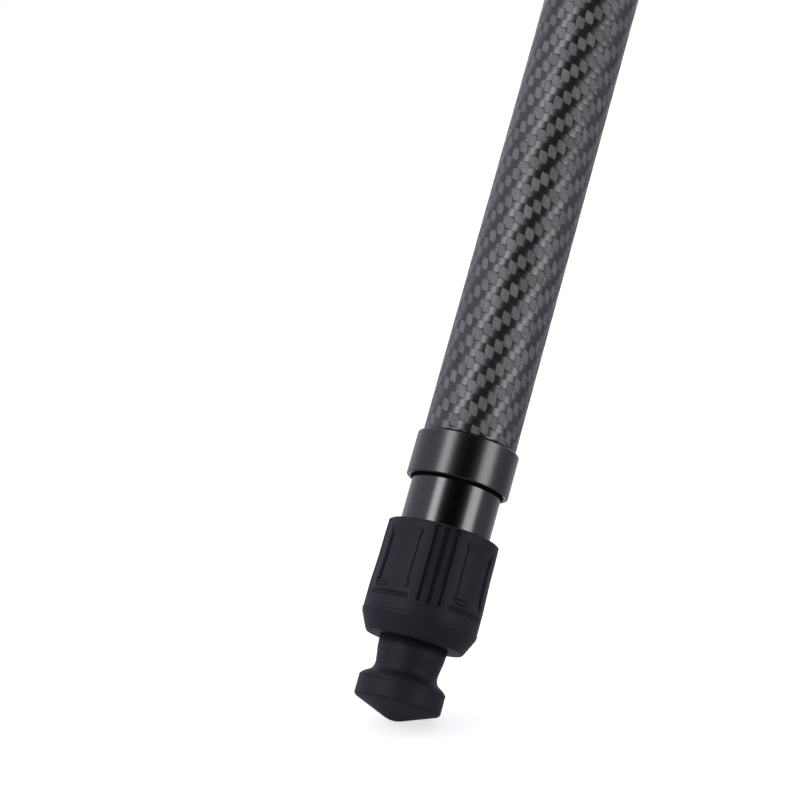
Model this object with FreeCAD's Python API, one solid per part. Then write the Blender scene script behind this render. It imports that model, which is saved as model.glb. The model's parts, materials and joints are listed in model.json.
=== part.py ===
import FreeCAD
import Part
import math
import os

from FreeCAD import Vector

# A travel tripod whose leg sections are all freed by one twist of the grip at the foot.
# Sizes are in millimetres and degrees.
# The tripod is built with its axis on Z and the leg hinges at height zero, then moved
# so that the camera seat is the origin.

# Stance
leg_bearings = {"leg_a": 240.0, "leg_b": 0.0, "leg_c": 120.0}
splay = 28.1
hinge_offset = 34.0

# Clearances
glue_gap = 0.05
slide_gap = 0.05
turn_gap = 0.05
free_gap = 0.3
face_gap = 0.1
past = 1.0

# Leg tubes: each slides in the bore of the one before
upper_tube_outer = 28.0
tube_wall = 1.2
tube_gap = 0.3
leg_tube_end = 322.8

# Leg locks: a cone on each inner tube spreads a split sleeve in the tube around it
cone_length = 15.0
cone_slope = 0.12
cone_flange = 1.5
cone_shank = 8.0
sleeve_length = 13.0
sleeve_slot = 2.0
cone_room = 3.0

# Collar at the lower end of the upper tube
collar_outer = 30.7
collar_length = 12.1
collar_chamfer = 0.4
collar_lower_chamfer = 0.3

# Ferrule, and the rubber ring that cushions the leg when it is pushed together
bumper_outer = 27.6
bumper_inner = 24.9
bumper_height = 0.9
ferrule_outer = 26.8
ferrule_show = 14.3
ferrule_in_grip = 24.5
ferrule_spigot = 24.0

# Twist grip, measured down from its top edge
grip_length = 32.6
grip_top_outer = 33.3
grip_outer = 34.06
grip_rim_chamfer = 0.4
grip_flare_end = 18.5
grip_skirt_start = 27.3
grip_skirt_end = 32.0
grip_skirt_outer = 30.0
grip_skirt_edge = 0.8
grip_turn = 35.9
grip_groups = 4
groove_angles = (-10.0, 0.0, 10.0)
groove_width = 1.2
groove_depth = 0.8
groove_start = 0.7
groove_end = 23.0
panel_half_angle = 19.5
panel_start = 2.2
panel_end = 20.0
panel_corner = 2.4
panel_depth = 0.45
bar_half_angle = 23.0
bar_start = 21.7
bar_end = 22.8

# Rubber foot, measured down from the underside of the grip
foot_top_outer = 20.3
foot_waist_outer = 18.44
foot_waist = 7.7
foot_flare_radius = 4.1
foot_flare_turn = 64.0
foot_flare_steps = 3
foot_disc_outer = 25.7
foot_disc_start = 12.7
foot_disc_end = 18.2
foot_rim_chamfer = 0.6
foot_length = 23.2
foot_tip_outer = 2.6
stud_radius = 5.0
stud_length = 11.0

# Leg top casting and hinge
knuckle_radius = 14.0
knuckle_width = 18.0
neck_half = 11.0
cap_start = 15.0
cap_cone_end = 19.5
cap_neck_outer = 23.0
cap_outer = 31.0
tube_top = 24.0
cap_skirt_end = 34.0
yoke_spigot = 20.0
pin_radius = 3.5
pin_head_radius = 6.5
pin_head_height = 2.0
ear_thickness = 6.0
ear_radius = 12.0

# Angle stop tab in the leg top casting
tab_width = 9.0
tab_thickness = 4.4
tab_above_hinge = 6.5
tab_inner = 7.5
tab_outer = 13.8
tab_pad_width = 14.0
tab_pad_height = 9.0
tab_pad_thickness = 3.4

# Spider, the hub that holds the three hinges
hub_radius = 21.0
hub_top = 15.0
hub_bottom = -13.0
hub_chamfer = 1.0
hub_top_chamfer = 2.0
ear_root = 13.0
ear_top = 14.0
neck_radius = 16.5
neck_top = 31.0
neck_bore = 14.3
notch_width = 5.0
notch_depth = 1.5
notch_angles = (0.0, 24.0)
accessory_bearing = 60.0
accessory_boss_radius = 6.0
accessory_boss_root = 14.5
accessory_boss_face = 24.0
accessory_hole_radius = 2.55
accessory_hole_depth = 8.0

# Centre column and its lock
column_outer = 25.0
column_wall = 1.5
column_top = 36.0
column_bottom = -104.0
plate_spigot = 10.0
bush_slot = 2.0
bush_proud = 0.5
ring_outer = 43.0
ring_top = 34.0
ring_chamfer = 1.2
ring_flutes = 12
ring_flute_radius = 3.0
ring_flute_depth = 1.0

# Hook at the foot of the column
hook_flange_radius = 14.0
hook_flange = 5.0
hook_chamfer = 1.0
hook_spigot = 10.0
hook_eye_width = 14.0
hook_eye_thickness = 4.0
hook_eye_hole = 4.2
hook_eye_drop = 12.5

# Ball head
platform_radius = 22.0
platform_height = 7.0
platform_chamfer = 1.0
head_stud_radius = 4.7
head_stud_length = 6.5
base_radius = 21.0
base_height = 8.5
base_chamfer = 1.0
spindle_radius = 10.0
spindle_height = 6.0
housing_radius = 19.5
housing_foot_height = 7.0
housing_cone_height = 3.0
ball_radius = 16.0
ball_height = 35.0
ball_flat = 9.0
rim_height = 9.0
rim_radius = 17.6
rim_bevel = 2.0
lip_tangent_height = 6.0
ball_room = 0.15
floor_gap = 0.5
seat_height = 5.0
seat_touch_angle = 40.0
stem_neck_radius = 6.5
stem_flange_radius = 11.0
stem_flange_base = 23.0
stem_flange_top = 26.0
stem_screw_radius = 3.0
stem_screw_length = 4.0
notch_side_gap = 0.8

# Knobs of the head
ball_knob_drop = 8.0
ball_knob_boss_radius = 8.0
ball_knob_boss = 3.5
ball_knob_radius = 11.0
ball_knob_length = 16.0
ball_knob_shaft = 3.0
pan_knob_bearing = 90.0
pan_knob_radius = 6.0
pan_knob_length = 9.0
pan_knob_shaft = 2.0
knob_chamfer = 1.0
knob_flutes = 8
knob_flute_depth = 0.8
knob_flute_share = 0.25

# Clamp and quick release plate
clamp_length = 36.0
clamp_floor = 6.5
fixed_jaw_thickness = 5.5
clamp_jaw_height = 12.0
jaw_thickness = 6.0
clamp_knob_radius = 6.5
clamp_knob_length = 10.0
clamp_screw_radius = 1.7
clamp_screw_depth = 9.0
guide_radius = 1.5
guide_length = 10.0
guide_spread = 24.0
plate_length = 50.0
rail_half_width = 19.0
rail_edge = 1.5
rail_slope = 2.8
rail_web = 1.6
plate_body = 4.0
pad_inset = 4.0
pad_recess = 1.0
pad_proud = 0.5
screw_radius = 3.175
screw_length = 5.0
screw_neck_radius = 2.6
screw_hole_radius = 3.4
screw_head_radius = 7.0
screw_head_height = 2.4
screw_head_pocket = 3.4
vial_radius = 2.0
vial_length = 12.0
vial_inset = 3.0

# Heights and places that follow from the sizes above
tube_step = 2 * (tube_wall + tube_gap)
tube_outer = [upper_tube_outer - number * tube_step for number in range(4)]
tube_bore = [outer - 2 * tube_wall for outer in tube_outer]
ferrule_top = leg_tube_end + face_gap + bumper_height
grip_top = ferrule_top + ferrule_show
foot_top = grip_top + grip_length
platform_top = column_top + platform_height
base_top = platform_top + base_height
housing_bottom = base_top + free_gap
ball_centre = platform_top + ball_height
clamp_bottom = ball_centre + stem_flange_top
rail_bottom = clamp_bottom + clamp_floor + face_gap
plate_top = rail_bottom + rail_edge + rail_slope + rail_web + plate_body
camera_seat = plate_top + pad_proud
clamp_half_width = rail_half_width + fixed_jaw_thickness
clamp_screw_height = clamp_bottom + clamp_floor / 2
vial_x = vial_inset - clamp_half_width
vial_height = clamp_bottom + clamp_jaw_height
pan_knob_height = housing_bottom + housing_foot_height / 2
ball_knob_height = ball_centre - ball_knob_drop


def outline(points, flip=False):
    """A closed face in the X-Z plane. A point is (r, z), or (middle, end) of an arc."""
    sign = -1.0 if flip else 1.0

    def at(pair):
        return Vector(pair[0], 0, sign * pair[1])

    edges = []
    here = at(points[0])
    for point in points[1:] + [points[0]]:
        if isinstance(point[0], tuple):
            there = at(point[1])
            edges.append(Part.Arc(here, at(point[0]), there).toShape())
        else:
            there = at(point)
            edges.append(Part.LineSegment(here, there).toShape())
        here = there
    return Part.Face(Part.Wire(edges))


def turned(points, down=False):
    """A solid of revolution about Z. With down, heights are distances below the origin."""
    solid = outline(points, down).revolve(Vector(0, 0, 0), Vector(0, 0, 1), 360)
    if solid.Volume < 0:
        solid.reverse()
    return solid


def ring(outer, inner, low, high, down=False):
    return turned([(inner, low), (outer, low), (outer, high), (inner, high)], down)


def rod(radius, start, end):
    """A round bar from one point to another."""
    start = Vector(*start)
    end = Vector(*end)
    return Part.makeCylinder(radius, (end - start).Length, start, end - start)


def box(x, y, z):
    return Part.makeBox(x[1] - x[0], y[1] - y[0], z[1] - z[0], Vector(x[0], y[0], z[0]))


def prism_y(points, half_width):
    """A flat outline in X-Z, thickened both ways along Y."""
    corners = [Vector(x, -half_width, z) for x, z in points]
    face = Part.Face(Part.makePolygon(corners + corners[:1]))
    return face.extrude(Vector(0, 2 * half_width, 0))


def turn_z(shape, angle):
    copy = shape.copy()
    copy.rotate(Vector(0, 0, 0), Vector(0, 0, 1), angle)
    return copy


def lift(shape, height):
    copy = shape.copy()
    copy.translate(Vector(0, 0, height))
    return copy


def fuse(shapes):
    return shapes[0].multiFuse(shapes[1:]).removeSplitter()


def at_leg(shape, bearing):
    """Leg parts are drawn hanging straight down from the hinge; this puts them in place."""
    copy = shape.copy()
    copy.rotate(Vector(0, 0, 0), Vector(0, 1, 0), -splay)
    copy.translate(Vector(hinge_offset, 0, 0))
    return turn_z(copy, bearing)


# Leg top casting
def yoke():
    knuckle = rod(knuckle_radius, (0, -knuckle_width / 2, 0), (0, knuckle_width / 2, 0))
    neck = box((-neck_half, neck_half), (-knuckle_width / 2, knuckle_width / 2), (-cap_cone_end, 0))
    spigot_radius = tube_bore[0] / 2 - glue_gap
    skirt_bore = tube_outer[0] / 2 + glue_gap
    cap = turned([
        (0, cap_start), (cap_neck_outer / 2, cap_start), (cap_outer / 2, cap_cone_end),
        (cap_outer / 2, cap_skirt_end), (skirt_bore, cap_skirt_end), (skirt_bore, tube_top),
        (spigot_radius, tube_top), (spigot_radius, tube_top + yoke_spigot),
        (0, tube_top + yoke_spigot),
    ], down=True)
    half_width = knuckle_width / 2 + past
    pin_hole = rod(pin_radius + turn_gap, (0, -half_width, 0), (0, half_width, 0))
    slot_low = tab_above_hinge - free_gap
    slot_high = tab_above_hinge + tab_thickness + free_gap
    half_slot = tab_width / 2 + free_gap
    slot_reach = knuckle_radius + past
    tab_slot = box((-slot_reach, slot_reach), (-half_slot, half_slot), (slot_low, slot_high))
    return fuse([knuckle, neck, cap]).cut(pin_hole).cut(tab_slot)


def angle_tab():
    top = tab_above_hinge + tab_thickness
    middle = tab_above_hinge + tab_thickness / 2
    bar = box((-tab_inner, tab_outer), (-tab_width / 2, tab_width / 2), (tab_above_hinge, top))
    pad = box((tab_outer, tab_outer + tab_pad_thickness),
              (-tab_pad_width / 2, tab_pad_width / 2),
              (middle - tab_pad_height / 2, middle + tab_pad_height / 2))
    return fuse([bar, pad])


# Telescoping tubes and the cones and split sleeves that lock them
def section_top(number):
    """How far down the leg tube 2, 3 or 4 starts when the leg is pushed together."""
    first = tube_top + yoke_spigot + cone_room + cone_length + cone_flange
    step = cone_shank + cone_room + cone_length + cone_flange
    return first + (number - 2) * step


def upper_tube():
    return ring(tube_outer[0] / 2, tube_bore[0] / 2, tube_top, leg_tube_end, down=True)


def cone_radius(number, height):
    """Radius of the cone at a height above its flange."""
    return tube_outer[number - 1] / 2 - tube_wall - cone_slope * height


def section(number):
    top = section_top(number)
    index = number - 1
    tube = ring(tube_outer[index] / 2, tube_bore[index] / 2, top, leg_tube_end, down=True)
    shank = tube_bore[index] / 2 - glue_gap
    cone = turned([
        (0, top + cone_shank), (shank, top + cone_shank), (shank, top),
        (tube_outer[index] / 2, top), (tube_outer[index] / 2, top - cone_flange),
        (cone_radius(number, 0), top - cone_flange),
        (cone_radius(number, cone_length), top - cone_flange - cone_length),
        (0, top - cone_flange - cone_length),
    ], down=True)
    return Part.makeCompound([tube, cone])


def expander(number):
    """The split sleeve that slides in the bore of the next larger tube."""
    low = section_top(number) - cone_flange - free_gap
    outer = tube_bore[number - 2] / 2 - slide_gap
    inner_low = cone_radius(number, free_gap) + turn_gap
    inner_high = cone_radius(number, free_gap + sleeve_length) + turn_gap
    sleeve = turned([
        (inner_low, low), (outer, low), (outer, low - sleeve_length),
        (inner_high, low - sleeve_length),
    ], down=True)
    slot = box((0, outer + past), (-sleeve_slot / 2, sleeve_slot / 2),
               (-low - past, -low + sleeve_length + past))
    return sleeve.cut(slot)


def collar():
    outer = collar_outer / 2
    bore = tube_outer[0] / 2 + glue_gap
    top = leg_tube_end - collar_length
    return turned([
        (bore, top), (outer - collar_chamfer, top), (outer, top + collar_chamfer),
        (outer, leg_tube_end - collar_lower_chamfer), (outer - collar_lower_chamfer, leg_tube_end),
        (bore, leg_tube_end),
    ], down=True)


# Foot end: metal ferrule, rubber twist grip and rubber foot
def ferrule():
    """The metal sleeve in the smallest tube, and the rubber ring that sits on its step."""
    spigot = tube_bore[3] / 2 - glue_gap
    step = bumper_inner / 2 - glue_gap
    low = leg_tube_end + face_gap
    sleeve = turned([
        (0, leg_tube_end - ferrule_spigot), (spigot, leg_tube_end - ferrule_spigot),
        (spigot, low), (step, low), (step, ferrule_top), (ferrule_outer / 2, ferrule_top),
        (ferrule_outer / 2, grip_top + ferrule_in_grip), (stud_radius, grip_top + ferrule_in_grip),
        (stud_radius, foot_top + stud_length), (0, foot_top + stud_length),
    ], down=True)
    bumper = ring(bumper_outer / 2, bumper_inner / 2, low, ferrule_top, down=True)
    return Part.makeCompound([sleeve, bumper])


def wall_pocket(half_angle, start, end, depth, corner=0.0):
    """A cutter for a pocket in the grip's wall, centred on +X, with cut-off corners."""
    floor = grip_outer / 2 - depth
    reach = grip_outer / 2 + past
    half = floor * math.sin(math.radians(half_angle))
    z_low = -(grip_top + end)
    z_high = -(grip_top + start)
    corners = [
        (-half, z_low + corner), (-half + corner, z_low), (half - corner, z_low),
        (half, z_low + corner), (half, z_high - corner), (half - corner, z_high),
        (-half + corner, z_high), (-half, z_high - corner),
    ]
    if not corner:
        corners = [(-half, z_low), (half, z_low), (half, z_high), (-half, z_high)]
    points = [Vector(0, y, z) for y, z in corners]
    block = Part.Face(Part.makePolygon(points + points[:1])).extrude(Vector(reach, 0, 0))
    return block.common(ring(reach, floor, grip_top + start - past, grip_top + end + past, down=True))


def twist_grip():
    bore = ferrule_outer / 2 + glue_gap
    body = turned([
        (bore, grip_top), (grip_top_outer / 2 - grip_rim_chamfer, grip_top),
        (grip_top_outer / 2, grip_top + grip_rim_chamfer), (grip_outer / 2, grip_top + grip_flare_end),
        (grip_outer / 2, grip_top + grip_skirt_start), (grip_skirt_outer / 2, grip_top + grip_skirt_end),
        (grip_skirt_outer / 2 - grip_skirt_edge, foot_top), (stud_radius + glue_gap, foot_top),
        (stud_radius + glue_gap, grip_top + ferrule_in_grip + face_gap),
        (bore, grip_top + ferrule_in_grip + face_gap),
    ], down=True)
    groove_half = math.degrees(groove_width / grip_outer)
    groove = wall_pocket(groove_half, groove_start, groove_end, groove_depth)
    panel = wall_pocket(panel_half_angle, panel_start, panel_end, panel_depth, panel_corner)
    bar = wall_pocket(bar_half_angle, bar_start, bar_end, panel_depth)
    cutters = []
    for group in range(grip_groups):
        centre = grip_turn + group * 360.0 / grip_groups
        cutters += [turn_z(groove, centre + angle) for angle in groove_angles]
        cutters += [turn_z(cutter, centre + 180.0 / grip_groups) for cutter in (panel, bar)]
    return body.cut(Part.makeCompound(cutters))


def foot():
    """The waist flares out to the disc along an arc, taken in a few short cones."""
    points = [(foot_top_outer / 2, 0), (foot_waist_outer / 2, foot_waist)]
    for step in range(1, foot_flare_steps + 1):
        turn = math.radians(foot_flare_turn * step / foot_flare_steps)
        points.append((foot_waist_outer / 2 + foot_flare_radius * (1 - math.cos(turn)),
                       foot_waist + foot_flare_radius * math.sin(turn)))
    disc = foot_disc_outer / 2
    points += [
        (disc, foot_disc_start), (disc, foot_disc_end - foot_rim_chamfer),
        (disc - foot_rim_chamfer, foot_disc_end), (foot_tip_outer / 2, foot_length), (0, foot_length),
        (0, stud_length + face_gap), (stud_radius + glue_gap, stud_length + face_gap),
        (stud_radius + glue_gap, 0),
    ]
    return turned([(radius, foot_top + depth) for radius, depth in points], down=True)


# Spider and hinge pins
def spider():
    column_bore = column_outer / 2 + slide_gap
    hub = turned([
        (column_bore, hub_bottom), (hub_radius - hub_chamfer, hub_bottom),
        (hub_radius, hub_bottom + hub_chamfer), (hub_radius, hub_top - hub_top_chamfer),
        (hub_radius - hub_top_chamfer, hub_top), (neck_radius, hub_top), (neck_radius, neck_top),
        (neck_bore, neck_top), (neck_bore, hub_top), (column_bore, hub_top),
    ])
    inner = knuckle_width / 2 + free_gap
    profile = [(ear_root, -ear_radius), (hinge_offset, -ear_radius), (hinge_offset, ear_radius),
               (ear_root, ear_top)]
    solids = [hub]
    for bearing in leg_bearings.values():
        for side in (-1, 1):
            centre = side * (inner + ear_thickness / 2)
            plate = prism_y(profile, ear_thickness / 2)
            plate = plate.fuse(rod(ear_radius, (hinge_offset, -ear_thickness / 2, 0),
                                   (hinge_offset, ear_thickness / 2, 0)))
            plate.translate(Vector(0, centre, 0))
            solids.append(turn_z(plate, bearing))
    boss = rod(accessory_boss_radius, (accessory_boss_root, 0, 0), (accessory_boss_face, 0, 0))
    solids.append(turn_z(boss, accessory_bearing))
    hole = rod(accessory_hole_radius, (accessory_boss_face - accessory_hole_depth, 0, 0),
               (accessory_boss_face + past, 0, 0))
    column_room = rod(column_bore, (0, 0, hub_bottom - past), (0, 0, neck_top + past))
    cutters = [column_room, turn_z(hole, accessory_bearing)]
    swing = knuckle_radius + free_gap
    width = inner + ear_thickness + past
    for bearing in leg_bearings.values():
        tools = [
            rod(swing, (hinge_offset, -inner, 0), (hinge_offset, inner, 0)),
            rod(pin_radius + glue_gap, (hinge_offset, -width, 0), (hinge_offset, width, 0)),
        ]
        for angle in notch_angles:
            notch = box((-swing - notch_depth, 0), (-notch_width, notch_width),
                        (tab_above_hinge - free_gap, tab_above_hinge + tab_thickness + free_gap))
            notch.rotate(Vector(0, 0, 0), Vector(0, 1, 0), -splay - angle)
            notch.translate(Vector(hinge_offset, 0, 0))
            tools.append(notch)
        cutters += [turn_z(tool, bearing) for tool in tools]
    return fuse(solids).cut(cutters)


def hinge_pins():
    reach = knuckle_width / 2 + free_gap + ear_thickness
    pins = []
    for bearing in leg_bearings.values():
        shaft = rod(pin_radius, (hinge_offset, -reach, 0), (hinge_offset, reach, 0))
        heads = [rod(pin_head_radius, (hinge_offset, side * reach, 0),
                     (hinge_offset, side * (reach + pin_head_height), 0)) for side in (-1, 1)]
        pins.append(turn_z(fuse([shaft] + heads), bearing))
    return Part.makeCompound(pins)


# Centre column
def column_tube():
    return ring(column_outer / 2, column_outer / 2 - column_wall, column_bottom, column_top)


def column_bush():
    """A split plastic collet that the lock ring squeezes on the column."""
    top = neck_top + bush_proud
    bush = ring(neck_bore - glue_gap, column_outer / 2 + slide_gap, hub_top + face_gap, top)
    slot = box((0, neck_bore + past), (-bush_slot / 2, bush_slot / 2), (hub_top, top + past))
    return bush.cut(slot)


def fluted(shape, radius, count, depth, cutter_radius, low, high):
    """Cuts evenly spaced lengthwise flutes in a round part."""
    centre = radius - depth + cutter_radius
    tools = []
    for index in range(count):
        angle = math.radians(360.0 * index / count)
        place = (centre * math.cos(angle), centre * math.sin(angle))
        tools.append(rod(cutter_radius, place + (low,), place + (high,)))
    return shape.cut(tools)


def column_lock_ring():
    outer = ring_outer / 2
    low = hub_top + free_gap
    bore = neck_radius + slide_gap
    lip = column_outer / 2 + free_gap
    ledge = neck_top + bush_proud + face_gap
    body = turned([
        (bore, low), (outer - ring_chamfer, low), (outer, low + ring_chamfer),
        (outer, ring_top - ring_chamfer), (outer - ring_chamfer, ring_top), (lip, ring_top),
        (lip, ledge), (bore, ledge),
    ])
    return fluted(body, outer, ring_flutes, ring_flute_depth, ring_flute_radius, low - past,
                  ring_top + past)


def column_platform():
    spigot = column_outer / 2 - column_wall - glue_gap
    return turned([
        (0, column_top - plate_spigot), (spigot, column_top - plate_spigot), (spigot, column_top),
        (platform_radius, column_top), (platform_radius, platform_top - platform_chamfer),
        (platform_radius - platform_chamfer, platform_top), (head_stud_radius, platform_top),
        (head_stud_radius, platform_top + head_stud_length), (0, platform_top + head_stud_length),
    ])


def column_hook():
    """A plug in the column's foot with a flat eye for a bag or a weight."""
    spigot = column_outer / 2 - column_wall - glue_gap
    plug = turned([
        (0, column_bottom + hook_spigot), (spigot, column_bottom + hook_spigot),
        (spigot, column_bottom), (hook_flange_radius, column_bottom),
        (hook_flange_radius, column_bottom - hook_flange + hook_chamfer),
        (hook_flange_radius - hook_chamfer, column_bottom - hook_flange),
        (0, column_bottom - hook_flange),
    ])
    eye_centre = column_bottom - hook_eye_drop
    half = hook_eye_thickness / 2
    eye = rod(hook_eye_width / 2, (0, -half, eye_centre), (0, half, eye_centre))
    web = box((-hook_eye_width / 2, hook_eye_width / 2), (-half, half),
              (eye_centre, column_bottom - hook_flange / 2))
    hole = rod(hook_eye_hole, (0, -half - past, eye_centre), (0, half + past, eye_centre))
    return fuse([plug, eye, web]).cut(hole)


# Ball head
def head_base():
    hole = head_stud_radius + glue_gap
    return turned([
        (hole, platform_top), (base_radius - base_chamfer, platform_top),
        (base_radius, platform_top + base_chamfer), (base_radius, base_top), (spindle_radius, base_top),
        (spindle_radius, base_top + spindle_height), (0, base_top + spindle_height),
        (0, platform_top + head_stud_length + face_gap), (hole, platform_top + head_stud_length + face_gap),
    ])


def lip_point(height):
    """The housing's lip is a cone that touches a sphere just larger than the ball."""
    reach = ball_radius + slide_gap
    radius = math.sqrt(reach ** 2 - lip_tangent_height ** 2)
    return radius - (height - lip_tangent_height) * lip_tangent_height / radius


def head_housing():
    cavity = ball_radius + ball_room
    reach = ball_radius + slide_gap
    tangent = math.sqrt(reach ** 2 - lip_tangent_height ** 2)
    lip_low = lip_tangent_height - (cavity - tangent) * tangent / lip_tangent_height
    floor = ball_centre - ball_radius - floor_gap
    foot_top_z = housing_bottom + housing_foot_height
    pocket = base_top + spindle_height + free_gap
    shell = turned([
        (spindle_radius + turn_gap, housing_bottom), (base_radius, housing_bottom),
        (base_radius, foot_top_z), (housing_radius, foot_top_z + housing_cone_height),
        (housing_radius, ball_centre + rim_height - rim_bevel), (rim_radius, ball_centre + rim_height),
        (lip_point(rim_height), ball_centre + rim_height), (cavity, ball_centre + lip_low),
        (cavity, floor), (0, floor), (0, pocket), (spindle_radius + turn_gap, pocket),
    ])
    half = stem_neck_radius + notch_side_gap
    outside = -housing_radius - past
    drop_slot = fuse([
        rod(half, (0, 0, ball_centre), (0, outside, ball_centre)),
        box((-half, half), (outside, 0), (ball_centre, ball_centre + rim_height + past)),
    ])
    boss_face = -housing_radius - ball_knob_boss
    boss = rod(ball_knob_boss_radius, (-cavity - past, 0, ball_knob_height),
               (boss_face, 0, ball_knob_height))
    ball_shaft = rod(ball_knob_shaft + turn_gap, (0, 0, ball_knob_height),
                     (boss_face - past, 0, ball_knob_height))
    pan_shaft = rod(pan_knob_shaft + turn_gap, (0, 0, pan_knob_height),
                    (base_radius + past, 0, pan_knob_height))
    return fuse([shell, boss]).cut([drop_slot, ball_shaft, turn_z(pan_shaft, pan_knob_bearing)])


def ball_seat():
    """The cup under the ball: its conical bore touches a sphere just larger than the ball."""
    floor = ball_centre - ball_radius - floor_gap
    outer = ball_radius + slide_gap
    touch = math.radians(seat_touch_angle)

    def bore(z):
        drop = ball_centre - z
        return (outer - drop * math.cos(touch)) / math.sin(touch)

    top = floor + seat_height
    return turned([(bore(floor), floor), (outer, floor), (outer, top), (bore(top), top)])


def ball_stem():
    """The ball is flat underneath and carries a neck with a small round table."""
    neck_base = math.sqrt(ball_radius ** 2 - stem_neck_radius ** 2)
    flat_radius = math.sqrt(ball_radius ** 2 - ball_flat ** 2)
    profile = [
        (0, -ball_flat), (flat_radius, -ball_flat), ((ball_radius, 0), (stem_neck_radius, neck_base)),
        (stem_neck_radius, stem_flange_base), (stem_flange_radius, stem_flange_base),
        (stem_flange_radius, stem_flange_top), (stem_screw_radius, stem_flange_top),
        (stem_screw_radius, stem_flange_top + stem_screw_length), (0, stem_flange_top + stem_screw_length),
    ]
    return lift(turned(profile), ball_centre)


def knob(radius, length, shaft_radius, shaft_length):
    """A fluted knob along +X, its back at X zero and its shaft pointing to -X."""
    body = turned([
        (0, 0), (radius - knob_chamfer, 0), (radius, knob_chamfer), (radius, length - knob_chamfer),
        (radius - knob_chamfer, length), (0, length),
    ])
    body = fluted(body, radius, knob_flutes, knob_flute_depth, knob_flute_share * radius, -past,
                  length + past)
    body = body.fuse(Part.makeCylinder(shaft_radius, shaft_length, Vector(0, 0, -shaft_length)))
    body.rotate(Vector(0, 0, 0), Vector(0, 1, 0), 90)
    return body


def ball_lock_knob():
    """Its shaft stops just short of the ball, at the top of the shaft's own end face."""
    face = housing_radius + ball_knob_boss + free_gap
    tip = math.sqrt(ball_radius ** 2 - (ball_knob_drop - ball_knob_shaft) ** 2) + face_gap
    part = knob(ball_knob_radius, ball_knob_length, ball_knob_shaft, face - tip)
    part.translate(Vector(face, 0, ball_knob_height))
    return turn_z(part, 180)


def pan_knob():
    face = base_radius + free_gap
    part = knob(pan_knob_radius, pan_knob_length, pan_knob_shaft, face - spindle_radius - face_gap)
    part.translate(Vector(face, 0, pan_knob_height))
    return turn_z(part, pan_knob_bearing)


# Clamp and quick release plate
def rail_outline(gap):
    """Half of the dovetail rail, from its foot to its web, grown sideways by a gap."""
    narrow = rail_half_width - rail_slope
    low = rail_bottom - face_gap
    return [
        (rail_half_width + gap, low), (rail_half_width + gap, rail_bottom + rail_edge),
        (narrow + gap, rail_bottom + rail_edge + rail_slope), (narrow + gap, plate_top),
    ]


def jaw_profile(inner_gap, back):
    """A jaw that hooks over the rail, from the clamp's floor to the jaw's top."""
    side = rail_outline(inner_gap)
    top = clamp_bottom + clamp_jaw_height
    return [(back, top), (side[2][0], top), side[2], side[1], side[0]]


def clamp_body():
    half = clamp_length / 2
    right = rail_half_width + face_gap
    floor = clamp_bottom + clamp_floor
    base = box((-clamp_half_width, right), (-half, half), (clamp_bottom, floor))
    side = jaw_profile(face_gap, clamp_half_width)
    points = [(-x, z) for x, z in side + [(clamp_half_width, floor)]]
    fixed_jaw = prism_y(points, half)

    def side_hole(radius, y, depth):
        return rod(radius + turn_gap, (right + past, y, clamp_screw_height),
                   (right - depth - past, y, clamp_screw_height))

    holes = [
        rod(stem_screw_radius + glue_gap, (0, 0, clamp_bottom - past),
            (0, 0, clamp_bottom + stem_screw_length + face_gap)),
        side_hole(clamp_screw_radius, 0, clamp_screw_depth),
        side_hole(guide_radius, -guide_spread / 2, guide_length),
        side_hole(guide_radius, guide_spread / 2, guide_length),
    ]
    room = vial_length / 2 + face_gap
    holes.append(rod(vial_radius + glue_gap, (vial_x, -room, vial_height), (vial_x, room, vial_height)))
    return fuse([base, fixed_jaw]).cut(holes)


def bubble_level():
    half = vial_length / 2
    return rod(vial_radius, (vial_x, -half, vial_height), (vial_x, half, vial_height))


def clamp_jaw():
    half = clamp_length / 2
    inner = rail_half_width + face_gap + free_gap
    back = inner + jaw_thickness
    points = [(back, clamp_bottom)] + jaw_profile(face_gap + free_gap, back) + [(inner, clamp_bottom)]
    jaw = prism_y(points, half)
    middle = (inner + back) / 2
    guides = [rod(guide_radius, (middle, side, clamp_screw_height),
                  (inner - guide_length, side, clamp_screw_height))
              for side in (-guide_spread / 2, guide_spread / 2)]
    hole = rod(clamp_screw_radius + turn_gap, (inner - past, 0, clamp_screw_height),
               (back + past, 0, clamp_screw_height))
    return fuse([jaw] + guides).cut(hole)


def clamp_knob():
    back = rail_half_width + face_gap + free_gap + jaw_thickness
    face = back + face_gap
    reach = face - (rail_half_width + face_gap - clamp_screw_depth)
    part = knob(clamp_knob_radius, clamp_knob_length, clamp_screw_radius, reach)
    part.translate(Vector(face, 0, clamp_screw_height))
    return part


def quick_plate():
    side = rail_outline(0)
    body_low = plate_top - plate_body
    points = [
        (side[0][0], rail_bottom), side[1], side[2], (side[2][0], body_low),
        (rail_half_width, body_low), (rail_half_width, plate_top),
    ]
    points += [(-x, z) for x, z in reversed(points)]
    body = prism_y(points, plate_length / 2)
    pad_x = rail_half_width - pad_inset
    pad_y = plate_length / 2 - pad_inset
    recess = box((-pad_x, pad_x), (-pad_y, pad_y), (plate_top - pad_recess, plate_top + past))
    hole = rod(screw_hole_radius, (0, 0, rail_bottom - past), (0, 0, plate_top + past))
    pocket = rod(screw_head_radius + free_gap, (0, 0, rail_bottom - past),
                 (0, 0, rail_bottom + screw_head_pocket))
    return body.cut([recess, hole, pocket])


def plate_pad():
    pad_x = rail_half_width - pad_inset - glue_gap
    pad_y = plate_length / 2 - pad_inset - glue_gap
    pad = box((-pad_x, pad_x), (-pad_y, pad_y), (plate_top - pad_recess, camera_seat))
    hole = rod(screw_hole_radius + free_gap, (0, 0, plate_top - pad_recess - past),
               (0, 0, camera_seat + past))
    return pad.cut(hole)


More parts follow.
